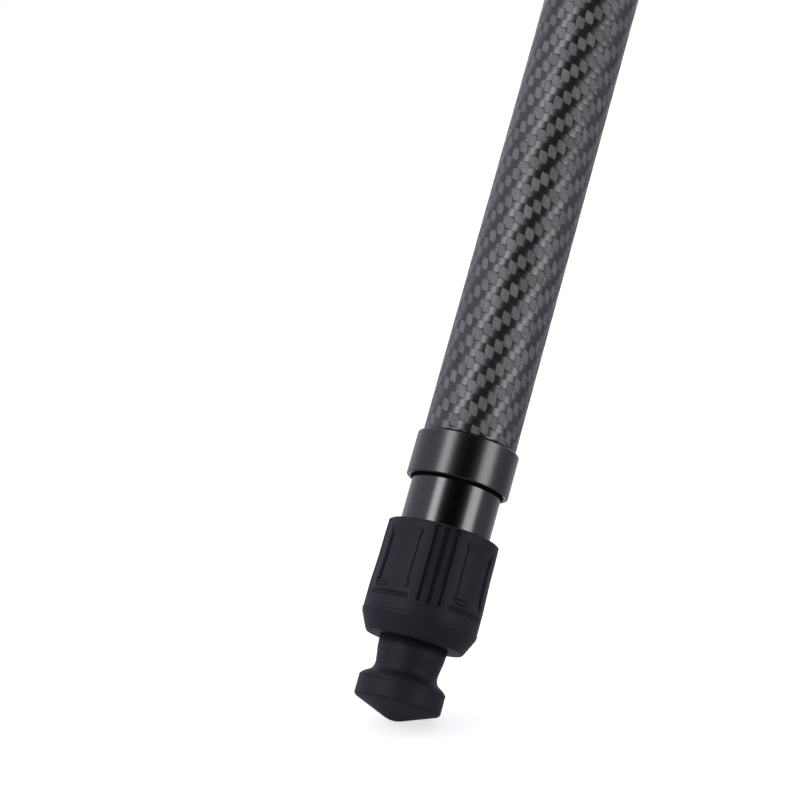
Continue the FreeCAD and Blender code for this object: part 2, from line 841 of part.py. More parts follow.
def camera_screw():
    head_top = rail_bottom + screw_head_pocket - face_gap
    return turned([
        (0, head_top - screw_head_height), (screw_head_radius, head_top - screw_head_height),
        (screw_head_radius, head_top), (screw_neck_radius, head_top), (screw_neck_radius, camera_seat),
        (screw_radius, camera_seat), (screw_radius, camera_seat + screw_length),
        (0, camera_seat + screw_length),
    ])


def leg_nodes():
    """Every part of one leg, drawn straight down from the hinge."""
    nodes = {"yoke": yoke(), "angle_tab": angle_tab(), "upper_tube": upper_tube(), "collar": collar()}
    for number in (2, 3, 4):
        nodes["expander_%d" % number] = expander(number)
        nodes["section_%d" % number] = section(number)
    nodes["ferrule"] = ferrule()
    nodes["twist_grip"] = twist_grip()
    nodes["foot"] = foot()
    return nodes


def top_nodes():
    return {
        "spider": spider(),
        "hinge_pins": hinge_pins(),
        "column_tube": column_tube(),
        "column_bush": column_bush(),
        "column_lock_ring": column_lock_ring(),
        "column_platform": column_platform(),
        "column_hook": column_hook(),
        "head_base": head_base(),
        "head_housing": head_housing(),
        "ball_seat": ball_seat(),
        "ball_stem": ball_stem(),
        "ball_lock_knob": ball_lock_knob(),
        "pan_knob": pan_knob(),
        "clamp_body": clamp_body(),
        "clamp_jaw": clamp_jaw(),
        "clamp_knob": clamp_knob(),
        "bubble_level": bubble_level(),
        "quick_plate": quick_plate(),
        "plate_pad": plate_pad(),
        "camera_screw": camera_screw(),
    }


def build():
    nodes = top_nodes()
    one_leg = leg_nodes()
    for leg, bearing in leg_bearings.items():
        for name, shape in one_leg.items():
            nodes["%s_%s" % (leg, name)] = at_leg(shape, bearing)
    return {name: lift(shape, -camera_seat) for name, shape in nodes.items()}


def main():
    os.makedirs("parts", exist_ok=True)
    for name, shape in build().items():
        for solid in shape.Solids:
            if not solid.isValid() or solid.Volume <= 0:
                print("faulty solid in", name)
        shape.exportStep(os.path.join("parts", name + ".step"))
        print(name, len(shape.Solids), "solids", round(shape.Volume), "mm3")


main()
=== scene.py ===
# %% [markdown]
# # Dressing a travel tripod
#
# The tripod comes from the CAD as a fixed frame: every piece has its place and size, but plain
# faces and no finish. This lesson gives it the looks. The photograph shows the foot end of one
# leg from close by, so that end gets the finest surfaces, and the rest gets the same finishes.
#
# The first cell loads the frame. The CAD is in metres and stands with Z up. Its origin is the
# seat of the camera, on top of the quick release plate, so the feet are far below zero.

# %% Load the frame
import json
import math

import bmesh
import bpy
import numpy as np
from mathutils import Matrix, Vector

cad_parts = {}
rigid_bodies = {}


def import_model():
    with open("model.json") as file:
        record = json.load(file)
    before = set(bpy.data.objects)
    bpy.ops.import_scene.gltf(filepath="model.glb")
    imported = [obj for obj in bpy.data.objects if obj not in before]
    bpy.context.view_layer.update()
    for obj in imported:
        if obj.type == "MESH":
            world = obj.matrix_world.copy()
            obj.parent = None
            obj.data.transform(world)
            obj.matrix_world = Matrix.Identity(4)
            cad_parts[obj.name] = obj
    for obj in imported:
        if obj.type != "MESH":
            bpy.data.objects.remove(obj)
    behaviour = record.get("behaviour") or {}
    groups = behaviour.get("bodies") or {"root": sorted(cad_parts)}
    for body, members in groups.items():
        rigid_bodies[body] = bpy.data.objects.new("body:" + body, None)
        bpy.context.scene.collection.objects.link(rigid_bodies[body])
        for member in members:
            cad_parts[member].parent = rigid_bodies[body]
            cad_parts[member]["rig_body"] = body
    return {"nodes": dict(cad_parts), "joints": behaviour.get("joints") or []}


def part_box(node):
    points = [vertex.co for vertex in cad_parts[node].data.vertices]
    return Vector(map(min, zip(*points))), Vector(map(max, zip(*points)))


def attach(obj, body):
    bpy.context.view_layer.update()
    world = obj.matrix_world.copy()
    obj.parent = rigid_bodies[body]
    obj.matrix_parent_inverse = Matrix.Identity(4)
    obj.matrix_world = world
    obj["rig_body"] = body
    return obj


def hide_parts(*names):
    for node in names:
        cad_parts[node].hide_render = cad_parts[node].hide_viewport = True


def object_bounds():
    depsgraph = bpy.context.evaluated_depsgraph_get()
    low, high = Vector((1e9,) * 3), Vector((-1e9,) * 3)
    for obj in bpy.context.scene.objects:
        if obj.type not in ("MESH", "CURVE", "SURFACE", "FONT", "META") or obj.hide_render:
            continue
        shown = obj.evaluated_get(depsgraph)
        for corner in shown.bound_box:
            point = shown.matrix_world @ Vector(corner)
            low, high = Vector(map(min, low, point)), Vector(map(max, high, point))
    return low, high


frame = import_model()
cad_low, cad_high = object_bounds()
joints = {joint["name"]: joint for joint in frame["joints"]}

# %% [markdown]
# ## Where each leg lies
#
# Sizes below are in millimetres, because that is how a maker gives them, and one factor turns
# them into metres. A leg is drawn along its own axis: `depth` runs down from the hinge, an angle
# turns about the axis, and angle zero points away from the tripod. The hinge and the slide in
# the frame's joints already hold the axis, so nothing is typed twice.

# %% Axes for the turned pieces
MM = 0.001
LEGS = ("leg_a", "leg_b", "leg_c")
HERO = "leg_a"


def unit(vector):
    vector = np.array(vector, float)
    return vector / np.linalg.norm(vector)


class Axis:
    """A line to turn pieces about: a start, a direction, and two directions square to it."""

    def __init__(self, start, along, side):
        self.start, self.along = np.array(start, float), unit(along)
        self.side = unit(side - self.along * (np.array(side, float) @ self.along))
        self.third = np.cross(self.side, self.along)

    def place(self, radius, angle, depth):
        """Points at a radius, an angle in radians and a depth, as an array that ends in x, y, z."""
        radius, angle, depth = np.broadcast_arrays(radius, angle, depth)
        across = np.cos(angle)[..., None] * self.side + np.sin(angle)[..., None] * self.third
        return self.start + MM * (radius[..., None] * across + depth[..., None] * self.along)

    def measure(self, points):
        """The radius and the depth of points, in millimetres."""
        gap = (np.asarray(points) - self.start) / MM
        depth = gap @ self.along
        return np.linalg.norm(gap - depth[..., None] * self.along, axis=-1), depth

    def sizes(self, node):
        """The radius and the depth of every vertex of a CAD node."""
        return self.measure(node_points(node))


def leg_axis(leg):
    start = joints[leg + "_splay"]["pos_m"]
    return Axis(start, joints[leg + "_slide_2"]["axis"], (start[0], start[1], 0.0))


def node_points(name):
    mesh = frame["nodes"][name].data
    points = np.empty(len(mesh.vertices) * 3, np.float32)
    mesh.vertices.foreach_get("co", points)
    return points.reshape(-1, 3).astype(float)


leg_axes = {leg: leg_axis(leg) for leg in LEGS}
up_axis = Axis((0, 0, 0), (0, 0, 1), (1, 0, 0))
hero = leg_axes[HERO]
tube_radius, tube_end = (values.max() for values in hero.sizes(HERO + "_upper_tube"))
hero_end = hero.place(0.0, 0.0, tube_end)
print("tube radius %.2f mm, ends %.1f mm below the hinge" % (tube_radius, tube_end))

# %% [markdown]
# ## The camera
#
# The photograph is a close view of the leg's end through a long lens. The camera is fixed by
# where the end of the tube appears: so far to the right, so far down and so far away. Its turn
# and its height above the horizon were found by matching the outline of the leg. The lens is
# given for a sensor 36 mm wide, and the frame is square.

# %% Make the camera
SENSOR = 36.0
LENS = 102.0
CAMERA_TURN, CAMERA_RISE = math.radians(4.526), math.radians(10.459)
SIGHT_ABOVE_TUBE_END = 20.2
SIGHT_RIGHT, SIGHT_DOWN, SIGHT_AWAY = 22.20, 6.18, 668.6

camera_right = np.array([math.cos(CAMERA_TURN), math.sin(CAMERA_TURN), 0.0])
level_ahead = np.array([-math.sin(CAMERA_TURN), math.cos(CAMERA_TURN), 0.0])
world_up = np.array([0.0, 0.0, 1.0])
camera_ahead = math.cos(CAMERA_RISE) * level_ahead - math.sin(CAMERA_RISE) * world_up
camera_up = math.sin(CAMERA_RISE) * level_ahead + math.cos(CAMERA_RISE) * world_up

sight = hero.place(0.0, 0.0, tube_end - SIGHT_ABOVE_TUBE_END)
offset = SIGHT_RIGHT * camera_right - SIGHT_DOWN * camera_up + SIGHT_AWAY * camera_ahead
camera_spot = sight - MM * offset


def add_object(name, data):
    thing = bpy.data.objects.new(name, data)
    bpy.context.scene.collection.objects.link(thing)
    return thing


def stand(name, data, spot, right, up, back):
    """A new object at a spot, with its own x, y and z along three directions."""
    thing = add_object(name, data)
    turn = np.column_stack([right, up, back])
    thing.matrix_world = Matrix.Translation(Vector(spot)) @ Matrix(turn.tolist()).to_4x4()
    return thing


camera = stand("camera", bpy.data.cameras.new("camera"), camera_spot, camera_right, camera_up, -camera_ahead)
camera.data.sensor_width, camera.data.lens = SENSOR, LENS
camera.data.clip_start, camera.data.clip_end = 0.05, 50.0
bpy.context.scene.camera = camera
bpy.context.scene.view_settings.view_transform = "Standard"
print("camera at", [round(value, 4) for value in camera_spot])

# %% [markdown]
# ## Light for black things
#
# A black metal tube shows almost nothing but reflections, so its look is made by what stands
# round it. The photograph shows two soft bright bands down the metal with a black strip between
# them: two lights left and right of the camera, and a dark room behind the camera. The
# pale edges are the white backdrop. The world can hold all of that: what mirror rays meet
# fades from white behind the object to nearly black on the camera's side, and what plain diffuse
# rays meet fades more slowly. The left side is brighter than the right, and all of it is a
# little blue.
#
# A mirror direction tells where each light belongs. On a round tube, the surface at an angle
# from the camera mirrors a direction at twice that angle, so a band at 24 degrees wants its
# light at 48 degrees. The left one is a tall strip and the right one a wider, lower box, so the
# rough carbon takes less light from the right. The lights are there for reflections only. Matt
# surfaces are lit by the world, as in a light tent, so nothing throws a hard shadow.

# %% Place the two lights
BAND_ANGLES = {"left_light": -21.4, "right_light": 26.5}
LIGHT_AWAY = 1.6
LIGHT_SIZE = {"left_light": (0.52, 1.8), "right_light": (0.74, 0.9)}
LIGHT_LEVEL = {"left_light": 7.2, "right_light": 6.1}
LAMP_FACTOR = 4.0

to_camera = unit(camera_spot - hero_end)
facing = unit(to_camera - hero.along * (to_camera @ hero.along))
camera_side = math.atan2(facing @ hero.third, facing @ hero.side)


def mirror_direction(surface_angle):
    """Where the hero leg mirrors to, at an angle about its axis from the side facing the camera."""
    right = np.cross(hero.along, facing)
    right = right * np.sign(right @ camera_right)
    angle = math.radians(surface_angle)
    normal = math.cos(angle) * facing + math.sin(angle) * right
    return 2 * (normal @ to_camera) * normal - to_camera


for name, angle in BAND_ANGLES.items():
    direction = mirror_direction(angle)
    lamp = bpy.data.lights.new(name, "AREA")
    lamp.shape = "RECTANGLE"
    lamp.size, lamp.size_y = LIGHT_SIZE[name]
    lamp.energy = LIGHT_LEVEL[name] * LAMP_FACTOR * lamp.size * lamp.size_y
    spot = hero_end + LIGHT_AWAY * direction
    long_way = unit(direction * (hero.along @ direction) - hero.along)
    light = stand(name, lamp, spot, np.cross(long_way, direction), long_way, direction)
    light.visible_camera = light.visible_diffuse = False
    print(name, "stands at", [round(value, 2) for value in spot])

# %% [markdown]
# ## Formulas made of nodes
#
# The world and the materials do arithmetic, and a Math node for each sign is hard to read. So a
# socket is wrapped in a `Value`, whose signs add the nodes: `a * b + 1` builds two of them.
# `put` adds any other node, and its values are properties, links or defaults of inputs.

# %% Node helpers
def node_tree(owner):
    owner.use_nodes = True
    owner.node_tree.nodes.clear()
    return owner.node_tree


def fill(tree, node, **values):
    """Sets a node's properties, and its inputs by name or by number, such as in0."""
    for key, value in values.items():
        value = value.socket if isinstance(value, Value) else value
        if hasattr(node, key):
            setattr(node, key, value)
            continue
        target = node.inputs[int(key[2:]) if key[2:].isdigit() else key.replace("_", " ")]
        if isinstance(value, bpy.types.NodeSocket):
            tree.links.new(value, target)
        else:
            target.default_value = value
    return node


def put(tree, kind, **values):
    return fill(tree, tree.nodes.new(kind), **values)


def calculate(tree, operation, *terms):
    inputs = {"in%d" % index: term for index, term in enumerate(terms)}
    return Value(tree, put(tree, "ShaderNodeMath", operation=operation, **inputs).outputs[0])


class Value:
    """A node's result. Each sign adds one Math node to its tree."""

    def __init__(self, tree, socket):
        self.tree, self.socket = tree, socket

    def math(self, operation, *others):
        return calculate(self.tree, operation, self, *others)

    def __add__(self, other):
        return self.math("ADD", other)

    def __sub__(self, other):
        return self.math("SUBTRACT", other)

    def __rsub__(self, other):
        return calculate(self.tree, "SUBTRACT", other, self)

    def __mul__(self, other):
        return self.math("MULTIPLY", other)

    def __rtruediv__(self, other):
        return calculate(self.tree, "DIVIDE", other, self)


def ramp(value, low, high, out_low=0.0, out_high=1.0, kind="SMOOTHSTEP"):
    """A step from one value to another, smooth unless the kind is LINEAR."""
    node = put(value.tree, "ShaderNodeMapRange", interpolation_type=kind, in0=value, in1=low, in2=high,
               in3=out_low, in4=out_high)
    return Value(value.tree, node.outputs[0])


def blend(factor, first, second):
    node = put(factor.tree, "ShaderNodeMix", in0=factor, in2=first, in3=second)
    return Value(factor.tree, node.outputs[0])


def mix_colour(factor, first, second):
    return put(factor.tree, "ShaderNodeMix", data_type="RGBA", in0=factor, in6=first, in7=second).outputs[2]


def ray_kinds(tree):
    """Whether a ray comes from the camera, and whether from a mirror or through glass."""
    kinds = put(tree, "ShaderNodeLightPath").outputs
    from_camera, glossy, passed = (Value(tree, kinds["Is %s Ray" % kind])
                                   for kind in ("Camera", "Glossy", "Transmission"))
    return from_camera, glossy.math("MAXIMUM", passed)


# %% [markdown]
# The world is one background shader with a level for each kind of ray. Camera rays see the clean
# white of the photograph. Mirror rays see the white that fades to dark towards the camera's side.
# The direction of a ray comes from the Generated output, which for a world is the direction
# itself. Everything is fixed to the room, so nothing slides when the camera moves.

# %% Paint the world
ROOM_DARK, ROOM_WHITE = 0.01, 1.0
DARK_UNTIL, WHITE_FROM = 0.86, 0.24
DARK_TURN = 3.0
DIFFUSE_BEHIND, DIFFUSE_FRONT = 1.45, 0.15
ROOM_LEFT, ROOM_RIGHT = 1.10, 0.84
DIFFUSE_LEFT, DIFFUSE_RIGHT = 1.48, 0.69
ROOM_TINT = (0.955, 0.975, 1.09, 1.0)

world = bpy.data.worlds.new("studio")
bpy.context.scene.world = world
tree = node_tree(world)
direction = put(tree, "ShaderNodeTexCoord").outputs["Generated"]


def leaning(way):
    """How far a ray's direction agrees with a fixed one, from minus one to one."""
    node = put(tree, "ShaderNodeVectorMath", operation="DOT_PRODUCT", in0=direction, in1=tuple(way))
    return Value(tree, node.outputs["Value"])


def across_room(left, right):
    """A factor that goes from the room's left to its right."""
    return ramp(leaning(camera_right), -1.0, 1.0, left, right, "LINEAR")


from_camera, mirrored = ray_kinds(tree)
front = leaning(mirror_direction(DARK_TURN))
fade = ramp(front, WHITE_FROM, DARK_UNTIL, ROOM_WHITE, ROOM_DARK)
diffuse = ramp(front, -1.0, 1.0, DIFFUSE_BEHIND, DIFFUSE_FRONT, "LINEAR")
diffuse = diffuse * across_room(DIFFUSE_LEFT, DIFFUSE_RIGHT)
level = blend(mirrored, diffuse, fade) * across_room(ROOM_LEFT, ROOM_RIGHT)
tint = mix_colour(from_camera, ROOM_TINT, (1, 1, 1, 1))
background = put(tree, "ShaderNodeBackground", Color=tint, Strength=blend(from_camera, level, 1.0))
put(tree, "ShaderNodeOutputWorld", Surface=background.outputs[0])

# %% [markdown]
# ## The floor
#
# The photograph's ground is pure white. A floor that is only an emitter would be white too, but
# the tripod would float on it. So the floor is a diffuse sheet, which takes the soft shadow, and
# camera rays get an emission on top that lifts the open part to white. Mirror rays see about a
# third of that emission.

# %% Lay the floor
FLOOR_COLOUR = 0.78
FLOOR_LIFT, FLOOR_MIRRORED = 0.72, 0.3
FLOOR_HALF = 12.0
FLOOR_GAP = 0.0002

floor_mesh = bpy.data.meshes.new("floor")
corners = [(x * FLOOR_HALF, y * FLOOR_HALF, cad_low.z - FLOOR_GAP) for x, y in
           ((-1, -1), (1, -1), (1, 1), (-1, 1))]
floor_mesh.from_pydata(corners, [], [(0, 1, 2, 3)])
floor = add_object("floor", floor_mesh)

floor_paint = bpy.data.materials.new("floor_paint")
tree = node_tree(floor_paint)
from_camera, mirrored = ray_kinds(tree)
matte = put(tree, "ShaderNodeBsdfDiffuse", Color=(FLOOR_COLOUR,) * 3 + (1,))
lift = put(tree, "ShaderNodeEmission", Strength=(mirrored * FLOOR_MIRRORED + from_camera) * FLOOR_LIFT)
both = put(tree, "ShaderNodeAddShader", in0=matte.outputs[0], in1=lift.outputs[0])
put(tree, "ShaderNodeOutputMaterial", Surface=both.outputs[0])
floor_mesh.materials.append(floor_paint)

# %% [markdown]
# ## Shared effects as node groups
#
# Three effects are node groups with named inputs and outputs: one because it is long, and two
# because every finish uses them. Groups give out only values and masks; the shader stays in the
# material, where the export can read it.
#
# `twill` is the weave of the carbon tubes. Lengthwise tows and crosswise tows pass over two and
# under two, one step further along in every row. What shows of a lengthwise tow is a lozenge two
# tows long: `Lengthwise` is one inside it, from the distance to a box with rounded corners. The
# tows aren't quite straight: a sine wave that runs along the diagonal of the weave sways them,
# and the ends of the lozenges slant. The last output is one on the lozenge's outline, where the
# carbon finish darkens the colour: painted shade where the tow curves away from the light.

# %% Group: twill weave
def open_group(name, **inputs):
    """A new node group and its inputs as values. A tuple makes a vector socket."""
    group = bpy.data.node_groups.new(name, "ShaderNodeTree")
    for socket, default in inputs.items():
        kind = "NodeSocketVector" if isinstance(default, tuple) else "NodeSocketFloat"
        group.interface.new_socket(name=socket, in_out="INPUT", socket_type=kind).default_value = default
    entry = group.nodes.new("NodeGroupInput")
    return [group] + [Value(group, entry.outputs[socket]) for socket in inputs]


def close_group(group, **results):
    for name in results:
        group.interface.new_socket(name=name, in_out="OUTPUT", socket_type="NodeSocketFloat")
    fill(group, group.nodes.new("NodeGroupOutput"), **results)


def use(tree, group, **values):
    """Adds a group to a material, and gives its outputs by name."""
    node = put(tree, "ShaderNodeGroup", node_tree=group, **values)
    return {socket.name: Value(tree, socket) for socket in node.outputs}


def noise(tree, place, **values):
    return Value(tree, put(tree, "ShaderNodeTexNoise", in0=place, **values).outputs[0])


FLOAT_HALF = 2.0
LONG_START, CROSS_START, SWAY_START = 1.0, 3.0, 1.5
TOW_LEAN, CROSS_LEAN, QUARTER_TURN = 0.10, 0.05, math.pi / 2
CELL_HALF, CELL_LONG, CELL_CORNER, CELL_SOFT = 0.50, 0.90, 0.24, 0.05
END_SLANT = 0.32
# Widths of the painted shade on a lozenge's outline, inside and outside it.
EDGE_SHADE_INSIDE, EDGE_SHADE_OUTSIDE = 0.26, 0.12
TOW_ROUND, LONG_RISE, LONG_FALL, CROSS_CROWN = 0.7, 0.3, 0.25, 2.2
BUNDLES, BUNDLE_STRETCH = 9.0, 0.7
LONG_SEED, CROSS_SEED = 3.1, 5.3

twill, tows = open_group("twill", Tows=(0.0, 0.0, 0.0))
parts = put(twill, "ShaderNodeSeparateXYZ", in0=tows).outputs
round_tows, long_tows = Value(twill, parts[0]), Value(twill, parts[1])
sway = ((round_tows + long_tows - SWAY_START) * QUARTER_TURN).math("SINE")
round_tows, long_tows = round_tows - sway * TOW_LEAN, long_tows + sway * CROSS_LEAN
column, row = round_tows.math("FLOOR"), long_tows.math("FLOOR")
across, down = round_tows.math("FRACT") - 0.5, long_tows.math("FRACT") - 0.5
along = (long_tows + column - LONG_START).math("WRAP", FLOAT_HALF, -FLOAT_HALF)
cross_along = (round_tows + row - CROSS_START).math("WRAP", FLOAT_HALF, -FLOAT_HALF)


def past_edge(value, limit):
    """How far a value lies outside plus or minus a limit, and zero inside."""
    return (value.math("ABSOLUTE") - limit).math("MAXIMUM", 0.0)


def arch(value):
    """One in the middle of a tow and zero at its two edges."""
    return 1.0 - value * value * 4.0


def fibre_noise(across, along, seed):
    """Noise drawn out along a tow, one stripe for each bundle of fibres."""
    place = put(twill, "ShaderNodeCombineXYZ", in0=across * BUNDLES, in1=along * BUNDLE_STRETCH, in2=seed)
    return noise(twill, place.outputs[0], Scale=1.0, Detail=2.0)


side = past_edge(across, CELL_HALF - CELL_CORNER)
end = past_edge(along - across * END_SLANT, CELL_LONG - CELL_CORNER)
reach = (side * side + end * end).math("SQRT") - CELL_CORNER
lengthwise = ramp(reach, -CELL_SOFT, CELL_SOFT, 1.0, 0.0)
# One on the lozenge's outline: the carbon finish paints shade with it there.
gap = ramp(reach, -EDGE_SHADE_INSIDE, 0.0) * ramp(reach, 0.0, EDGE_SHADE_OUTSIDE, 1.0, 0.0)
long_height = arch(across) * TOW_ROUND + LONG_RISE - along * along * LONG_FALL
cross_height = arch(down) * TOW_ROUND + (1.0 - cross_along * cross_along) * CROSS_CROWN
long_fibre = fibre_noise(round_tows, long_tows, column * LONG_SEED)
cross_fibre = fibre_noise(long_tows, round_tows, row * CROSS_SEED)
float_row = ((long_tows + column) * (0.5 / FLOAT_HALF)).math("FLOOR")
cell = put(twill, "ShaderNodeCombineXYZ", in0=column, in1=float_row).outputs[0]
tone = Value(twill, put(twill, "ShaderNodeTexWhiteNoise", in0=cell).outputs[0])
close_group(twill, Lengthwise=lengthwise, Height=blend(lengthwise, cross_height, long_height),
            Fibre=blend(lengthwise, cross_fibre, long_fibre), Tone=tone, Gap=gap)

# %% [markdown]
# `grain` is the fine pebble of blasted metal and moulded rubber, and `handling` is the slow
# change in gloss that every real surface has, from cleaning, fingers and an uneven bath.

# %% Groups: grain and handling
PEBBLE_SHARE = 0.6

grain, place, size, contrast = open_group("grain", Place=(0.0, 0.0, 0.0), Size=0.3, Contrast=1.0)
scale = (1.0 / MM) / size
fine = noise(grain, place, Scale=scale, Detail=3.0, Roughness=0.6)
pebble = Value(grain, put(grain, "ShaderNodeTexVoronoi", in0=place, Scale=scale).outputs[0])
close_group(grain, Height=fine - pebble * PEBBLE_SHARE, Speckle=(fine - 0.5) * contrast)

handling, place, amount = open_group("handling", Place=(0.0, 0.0, 0.0), Amount=0.1)
broad = noise(handling, place, Scale=38.0, Detail=4.0, Roughness=0.55, Distortion=0.6)
close_group(handling, Gloss=(broad - 0.5) * amount)

# %% [markdown]
# ## The finishes
#
# Most finishes here are one principled shader with a colour that varies a little, a roughness
# that varies with handling, and a bump from the grain. One function builds them, so that each
# finish is a line of values that can be compared with the next.

# %% Plain finishes
SPECKLE_GLOSS = 0.15


def start_material(name):
    made = bpy.data.materials.new(name)
    tree = node_tree(made)
    shader = put(tree, "ShaderNodeBsdfPrincipled")
    put(tree, "ShaderNodeOutputMaterial", Surface=shader.outputs[0])
    return made, tree, shader, put(tree, "ShaderNodeTexCoord").outputs["Object"]


def shade(colour, factor):
    return tuple(value * factor for value in colour) + (1.0,)


def finish(name, colour, roughness, metallic=0.0, grain_size=0.35, grain_depth=0.01, speckle=0.3,
           handled=0.12, spread=0.25, specular=0.5):
    """A principled shader whose colour, roughness and bump vary with place.

    Grain size and depth are in millimetres. Spread is how far the colour strays from its mean.
    """
    made, tree, shader, place = start_material(name)
    pebbles = use(tree, grain, Place=place, Size=grain_size, Contrast=speckle)
    gloss = use(tree, handling, Place=place, Amount=handled)["Gloss"]
    stray = pebbles["Speckle"] + gloss + 0.5
    bump = put(tree, "ShaderNodeBump", Strength=1.0, Distance=grain_depth * MM, Height=pebbles["Height"])
    fill(tree, shader, Base_Color=mix_colour(stray, shade(colour, 1 - spread), shade(colour, 1 + spread)),
         Roughness=pebbles["Speckle"] * SPECKLE_GLOSS + gloss + roughness, Normal=bump.outputs[0],
         Metallic=metallic, Specular_IOR_Level=specular)
    return made


SATIN_BLACK = finish("satin_black", (0.042, 0.042, 0.044), 0.28, metallic=1.0,
                     grain_size=0.30, grain_depth=0.008, speckle=0.6, handled=0.04, spread=0.35)
GLOSS_BLACK = finish("gloss_black", (0.047, 0.047, 0.049), 0.225, metallic=1.0,
                     grain_size=0.5, grain_depth=0.0012, handled=0.04, spread=0.1)
TURNED_STEEL = finish("turned_steel", (0.52, 0.52, 0.53), 0.24, metallic=1.0,
                      grain_size=0.4, grain_depth=0.002, handled=0.08, spread=0.08)
TAB_GREY = finish("tab_grey", (0.17, 0.175, 0.19), 0.36, metallic=1.0,
                  grain_size=0.25, grain_depth=0.005, handled=0.06, spread=0.12)
BALL_GREY = finish("ball_grey", (0.30, 0.305, 0.32), 0.16, metallic=1.0,
                   grain_size=0.5, grain_depth=0.0008, handled=0.06, spread=0.06)
RUBBER = finish("moulded_rubber", (0.0255, 0.0265, 0.0345), 0.55,
                grain_size=0.30, speckle=0.5, handled=0.10, specular=0.10)
KNOB_METAL = finish("knob_metal", (0.050, 0.050, 0.054), 0.30, metallic=1.0,
                    grain_size=0.25, grain_depth=0.004, handled=0.06)
NYLON = finish("moulded_nylon", (0.030, 0.030, 0.032), 0.48, grain_depth=0.006, specular=0.45)
# Near black with almost no gloss: it paints the shade in the gap under the collar and the contact shadow
# above it, and it is also the print of the level's hair lines.
SHADE_AND_LINE_BLACK = finish("black_lines_and_painted_shade", (0.004, 0.004, 0.0045), 0.7,
                   grain_size=0.3, grain_depth=0.004, specular=0.02)
PAINT_WHITE = finish("mark_paint", (0.62, 0.62, 0.60), 0.5,
                     grain_size=0.2, grain_depth=0.003, spread=0.06)

# %% [markdown]
# ## Carbon under lacquer
#
# Carbon fibres shine like dark satin, and which way they run decides where. Lengthwise fibres
# scatter light round the tube, so they look grey from everywhere. Crosswise fibres mirror it
# only where the surface faces a light: they are nearly white in the two bright bands and nearly
# black between them. Both sets are the same black fibre, but the lengthwise set gets a pale,
# rough colour that paints in the grey sheen it scatters, and the crosswise set a dark, smoother
# one that catches the lights. The tubes have a matt lacquer, so there is no second, even
# highlight over the weave.
#
# The pattern follows the surface, so it reads the tube's own UV map, which counts tows.

# %% Carbon weave
TOW_WIDTH = 2.215
# The pale lengthwise colour paints in the sheen those fibres scatter; the dark crosswise colour is near the
# fibre's own.
LENGTH_TOW_PAINTED_SHEEN, LENGTH_ROUGH = (0.142, 0.140, 0.146, 1.0), 0.70
CROSS_TOW, CROSS_ROUGH = (0.050, 0.049, 0.052, 1.0), 0.33
CARBON_METALLIC, CARBON_SPECULAR = 0.7, 0.35
# The last value is how far painted shade darkens the lozenges' outlines.
TONE_LEAST, TONE_SPREAD, EDGE_PAINTED_SHADE = 0.85, 0.30, 0.18
WEAVE_RELIEF, FIBRE_RELIEF = 0.05, 0.2


def carbon_finish():
    made, tree, shader, place = start_material("carbon_twill")
    weave = use(tree, twill, Tows=put(tree, "ShaderNodeUVMap", uv_map="tows").outputs[0])
    over, strand = weave["Lengthwise"], weave["Fibre"] - 0.5
    # Random tone and fibre streaks, darkened on the outlines by painted shade where the tows curve away.
    varied = (weave["Tone"] * TONE_SPREAD + TONE_LEAST + strand) * (1.0 - weave["Gap"] * EDGE_PAINTED_SHADE)
    varied = put(tree, "ShaderNodeCombineColor", in0=varied, in1=varied, in2=varied).outputs[0]
    # Dark crosswise colour between the lozenges, and the pale lengthwise colour with its painted sheen on
    # them.
    coloured = put(tree, "ShaderNodeMix", data_type="RGBA", blend_type="MULTIPLY", in0=1.0,
                   in6=mix_colour(over, CROSS_TOW, LENGTH_TOW_PAINTED_SHEEN), in7=varied).outputs[2]
    rough = blend(over, CROSS_ROUGH, LENGTH_ROUGH) + use(tree, handling, Place=place, Amount=0.05)["Gloss"]
    bump = put(tree, "ShaderNodeBump", Strength=1.0, Distance=WEAVE_RELIEF * MM,
               Height=strand * FIBRE_RELIEF + weave["Height"])
    fill(tree, shader, Base_Color=coloured, Roughness=rough, Normal=bump.outputs[0],
         Metallic=CARBON_METALLIC, Specular_IOR_Level=CARBON_SPECULAR)
    return made


CARBON = carbon_finish()

# %% [markdown]
# ## Glass for the level
#
# The bubble level is a clear tube with a yellow-green fluid and a bubble of air. Its shell is
# glass with a tint of its own, and the bubble is a small capsule of plain glass with air's low
# refraction, so it shows as a bright oval.

# %% Vial finishes
def vial_finish(name, colour, ior, roughness):
    made, tree, shader, place = start_material(name)
    gloss = use(tree, handling, Place=place, Amount=0.05)["Gloss"]
    fill(tree, shader, Base_Color=colour + (1,), IOR=ior, Transmission_Weight=1.0,
         Roughness=gloss + roughness)
    return made


VIAL = vial_finish("vial_fluid", (0.62, 0.86, 0.22), 1.40, 0.04)
AIR = vial_finish("vial_air", (1.0, 1.0, 1.0), 0.72, 0.02)

# %% [markdown]
# ## Surfaces worked out with numpy
#
# A turned piece is a profile carried round an axis. `ring_mesh` takes rings of points, joins
# neighbours with four-sided faces, and closes each end with a fan to one middle point or leaves
# it open. All of it is array work: faces come from one table of row and column numbers.

# %% Mesh from rings
def paint(mesh, material):
    mesh.materials.clear()
    mesh.materials.append(material)


def set_smooth(mesh, smooth):
    mesh.polygons.foreach_set("use_smooth", np.full(len(mesh.polygons), smooth))


def link_piece(name, mesh, material, node, replace=True, slot=None):
    """Puts a mesh in the scene. It rides with a CAD node, and takes its place unless told not to."""
    paint(mesh, material)
    piece = add_object(name, mesh)
    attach(piece, frame["nodes"][node]["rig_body"])
    if replace:
        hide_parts(node)
    return piece


def signed_volume(points, triangles):
    """Six times the volume inside: positive when the faces point outwards."""
    a, b, c = (points[triangles[:, corner]] for corner in range(3))
    return np.einsum("ij,ij->i", a, np.cross(b, c)).sum()


